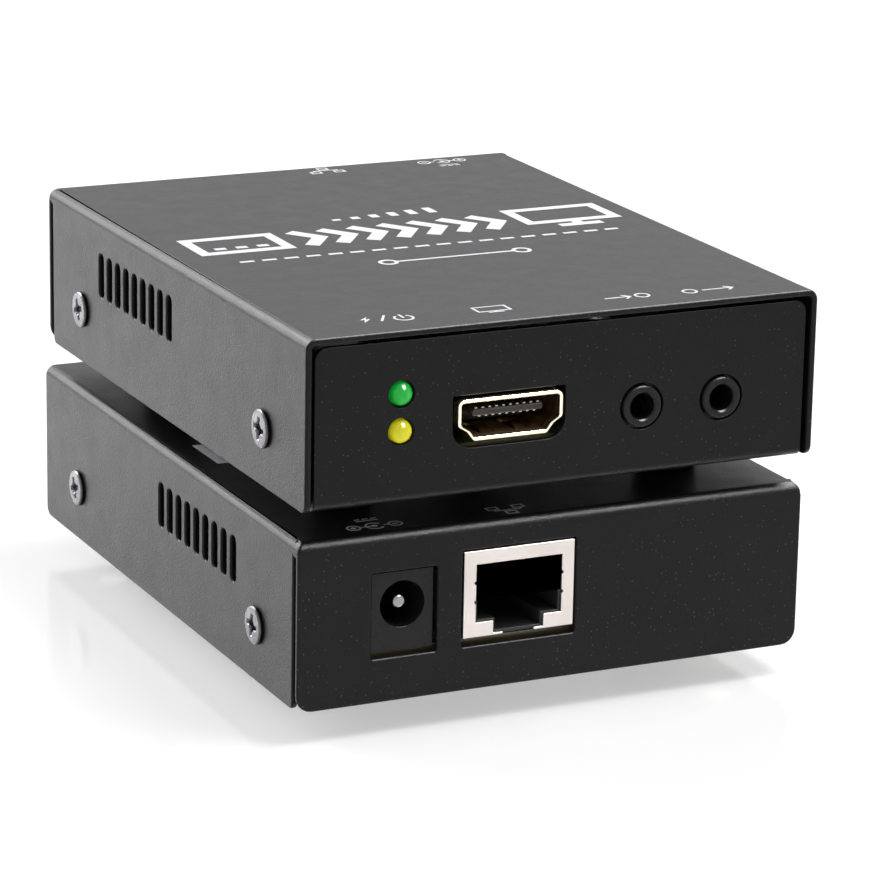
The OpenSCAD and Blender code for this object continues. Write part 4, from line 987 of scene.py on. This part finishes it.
def plate(outline):
    """Flat closed plate: the outline at the ink's two heights, joined by walls."""
    outline = np.asarray(outline, float)
    count = len(outline)
    points = np.concatenate([np.c_[outline, np.full(count, z)] for z in (-INK_SUNK, INK_RISE)])
    walls = grid_faces(2, count).tolist()
    return points, walls + [list(range(count))[::-1], list(range(count, 2 * count))]


def stroke(path, width):
    """Open stroke: one edge out and the other edge back, as a plate."""
    left, right = sides(path, width, False)
    return plate(np.concatenate([left, right[::-1]]))


def loop(path, width):
    """Closed stroke: four edges round the path, joined into a ring."""
    left, right = sides(path, width, True)
    edges = [np.c_[edge, np.full(len(edge), z)] for edge, z in
             ((left, INK_RISE), (right, INK_RISE), (right, -INK_SUNK), (left, -INK_SUNK))]
    points = np.stack(edges, 1)
    around = np.concatenate([points, points[:1]])
    return around.reshape(-1, 3), grid_faces(len(around), 4).tolist()


print("a stroke of two points has", len(stroke([(0, 0), (1, 0)], 0.2)[0]), "corners")

# %% Outlines that the marks share
CIRCLE_POINTS = 28


def circle(x, y, radius, first=0.0, last=360.0):
    """Points at equal angles round a centre, in degrees from +X. A full turn leaves out its last."""
    angle = np.radians(np.linspace(first, last, CIRCLE_POINTS, endpoint=abs(last - first) < 360))
    return np.stack([x + radius * np.cos(angle), y + radius * np.sin(angle)], -1)


def rectangle(x, y, width, height):
    """Corners round a centre."""
    return [(x - width / 2, y - height / 2), (x + width / 2, y - height / 2),
            (x + width / 2, y + height / 2), (x - width / 2, y + height / 2)]


def screen_mark(x, y, width, height, line):
    """Screen on a stand."""
    foot = y - height / 2 - line * 1.6
    return [loop(rectangle(x, y, width, height), line),
            stroke([(x, y - height / 2), (x, foot)], line),
            stroke([(x - width / 4, foot), (x + width / 4, foot)], line)]


def arrow(x, y, length, size, line):
    """Arrow to the right, with a head of that size."""
    tip = x + length / 2
    return [stroke([(x - length / 2, y), (tip, y)], line),
            stroke([(tip - size, y + size), (tip, y), (tip - size, y - size)], line)]


print("a screen has", len(screen_mark(0, 0, 4, 2, 0.3)), "strokes")

# %% Marks at the socket end
FINE = 0.34                # mm, width of a fine line


def light_marks():
    """Bolt, slash and power sign over the two lights."""
    bolt_x, bolt_y, power_x, power_y = -26.3, -41.2, -21.1, -41.9
    bolt = [(0.75, 1.30), (-0.70, 0.05), (-0.05, 0.05), (-0.60, -1.30), (0.85, 0.22), (0.15, 0.22)]
    return [plate([(bolt_x + x, bolt_y + y) for x, y in bolt]),
            stroke([(-24.5, -42.5), (-23.0, -39.8)], FINE),
            stroke(circle(power_x, power_y, 1.25, 125, 415), FINE),
            stroke([(power_x, power_y), (power_x, power_y + 1.7)], FINE)]


def jack_marks():
    """Ring for each jack, with an arrow into the left one and out of the right one."""
    size = 0.95
    left_y, right_y = -42.4, -42.8
    return [loop(circle(13.6, left_y, size), FINE), *arrow(9.9, left_y, 3.8, size, FINE),
            loop(circle(20.6, right_y, size), FINE), *arrow(24.8, right_y, 4.6, size, FINE)]


socket_marks = [*light_marks(), *screen_mark(-8.4, -41.7, 4.6, 2.3, FINE), *jack_marks()]
print(len(socket_marks), "strokes at the socket end")

# %% Marks at the power end
THIN = 0.26                # mm, width of the lines at the power jack


def power_marks():
    """Polarity of the plug: minus ring, open ring with a dot, plus ring; below, the sign for DC."""
    y, minus_x, dot_x, plus_x, ring, sign = 44.2, 22.0, 25.0, 28.0, 0.9, 0.45
    dc_start, dc_end, pitch, dash, over, under, line = 23.4, 26.6, 1.2, 0.8, 41.7, 41.0, 0.30
    return [loop(circle(minus_x, y, ring), THIN),
            stroke([(minus_x - sign, y), (minus_x + sign, y)], THIN),
            stroke(circle(dot_x, y, 1.2, 215, 505), THIN),
            plate(circle(dot_x, y, 0.42)),
            stroke([(minus_x + ring, y), (23.7, y)], THIN),
            stroke([(25.3, y), (plus_x - ring, y)], THIN),
            loop(circle(plus_x, y, ring), THIN),
            stroke([(plus_x - sign, y), (plus_x + sign, y)], THIN),
            stroke([(plus_x, y - sign), (plus_x, y + sign)], THIN),
            stroke([(dc_start, over), (dc_end, over)], line),
            *(stroke([(dc_start + k * pitch, under), (dc_start + dash + k * pitch, under)], line)
              for k in range(3))]


def network_marks():
    """Three boxes joined by a line."""
    line, middle_x, left_x, right_x, level = 0.28, 5.5, 3.6, 7.4, 44.3
    boxes = [(middle_x, 45.4), (left_x, 43.2), (right_x, 43.2)]
    return [*(loop(rectangle(x, y, 1.5, 1.1), line) for x, y in boxes),
            stroke([(middle_x, 44.85), (middle_x, level)], line),
            stroke([(left_x, 43.75), (left_x, level), (right_x, level), (right_x, 43.75)], line)]


power_end_marks = [*power_marks(), *network_marks()]
print(len(power_end_marks), "strokes at the power end")

# %% [markdown]
# ## The row in the middle
#
# The large marks tell what the pair does: a picture goes from a box, along a
# line of chevrons, to a screen. Loops over evenly spaced places make what repeats.

# %% Row in the middle
BOLD = 1.60                # mm, width of a bold line
ROW_Y = 4.0                # mm, middle of the row


def middle_marks():
    """Box on the left, seven chevrons, screen on the right, with thinner rows over and under them."""
    slot_y, slot = 2.2, 1.7
    box_mark = [loop(rectangle(-25.6, ROW_Y, 12.6, 8.2), BOLD),
                *(stroke([(x, slot_y), (x + slot, slot_y)], 1.1) for x in (-29.6, -26.4, -23.2))]
    reach, tip, back = 4.2, 1.6, 1.4
    chevrons = [stroke([(x - back, ROW_Y + reach), (x + tip, ROW_Y), (x - back, ROW_Y - reach)], 2.1)
                for x in np.linspace(-14.5, 13.5, 7)]
    bars_y, shortest, growth = 12.6, 0.9, 0.45
    bars = [stroke([(x, bars_y), (x, bars_y + shortest + growth * k)], 1.3)
            for k, x in enumerate(np.linspace(-6.4, 8.8, 6))]
    dashes_y, dash = -6.0, 2.1
    dashes = [stroke([(x, dashes_y), (x + dash, dashes_y)], 0.75) for x in np.linspace(-29.2, 27.0, 18)]
    link_y, link_x, ring, line = -13.2, 10.2, 1.15, 0.55
    link = [loop(circle(-link_x, link_y, ring), line), loop(circle(link_x, link_y, ring), line),
            stroke([(-9.0, link_y), (9.0, link_y)], line)]
    return [*box_mark, *chevrons, *screen_mark(25.6, 5.2, 13.6, 8.0, BOLD), *bars, *dashes, *link]


print(len(middle_marks()), "strokes in the middle")

# %% [markdown]
# ## Ink
#
# Screen ink is matt, a little blue, and so thin that the paint's grain shows
# through it. Strokes that cross would flicker if they lay level, so they take
# turns at four heights. Both tops carry the same list of marks.

# %% Finish of the ink
INK_RELIEF = 0.00003       # m, shallower than the paint's, because the ink fills it


def ink_finish():
    """White ink: slightly blue, matt, with the relief of the paint under it."""
    material, tree, shader = new_material("white_ink")
    thin = effect(tree, "patches", Size=0.0012, Low=0.0, High=1.0)["Value"]
    relief = effect(tree, "grain", Size=PEBBLE)["Height"]
    feed(tree, shader, Base_Color=mix_colour(tree, thin, (0.88, 0.88, 0.93, 1), (0.76, 0.76, 0.81, 1)),
         Roughness=effect(tree, "patches", Size=0.002, Low=0.50, High=0.62)["Value"],
         Specular_IOR_Level=0.3, Normal=bump(tree, relief, INK_RELIEF))
    return material


white_ink = ink_finish()
print("ink is mixed")

# %% The print on both tops
LAYER = 0.0008             # mm between the heights of strokes that may cross
LAYERS = 4                 # heights in use, one after the other

marks = [*socket_marks, *power_end_marks, *middle_marks()]
for unit in FACING:
    points, faces, count = [], [], 0
    for index, (shape_points, shape_faces) in enumerate(marks):
        height = case_h - INK_ROOM + LAYER * (index % LAYERS)
        points.append(shape_points + np.array([0, 0, height]))
        faces += [[corner + count for corner in face] for face in shape_faces]
        count += len(shape_points)
    print_piece = closed_piece(unit + "_top_print", to_frame(unit, np.concatenate(points)), faces,
                               white_ink, frame["nodes"][unit + "_cover"]["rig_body"])
    print(print_piece.name, len(print_piece.data.polygons), "faces")
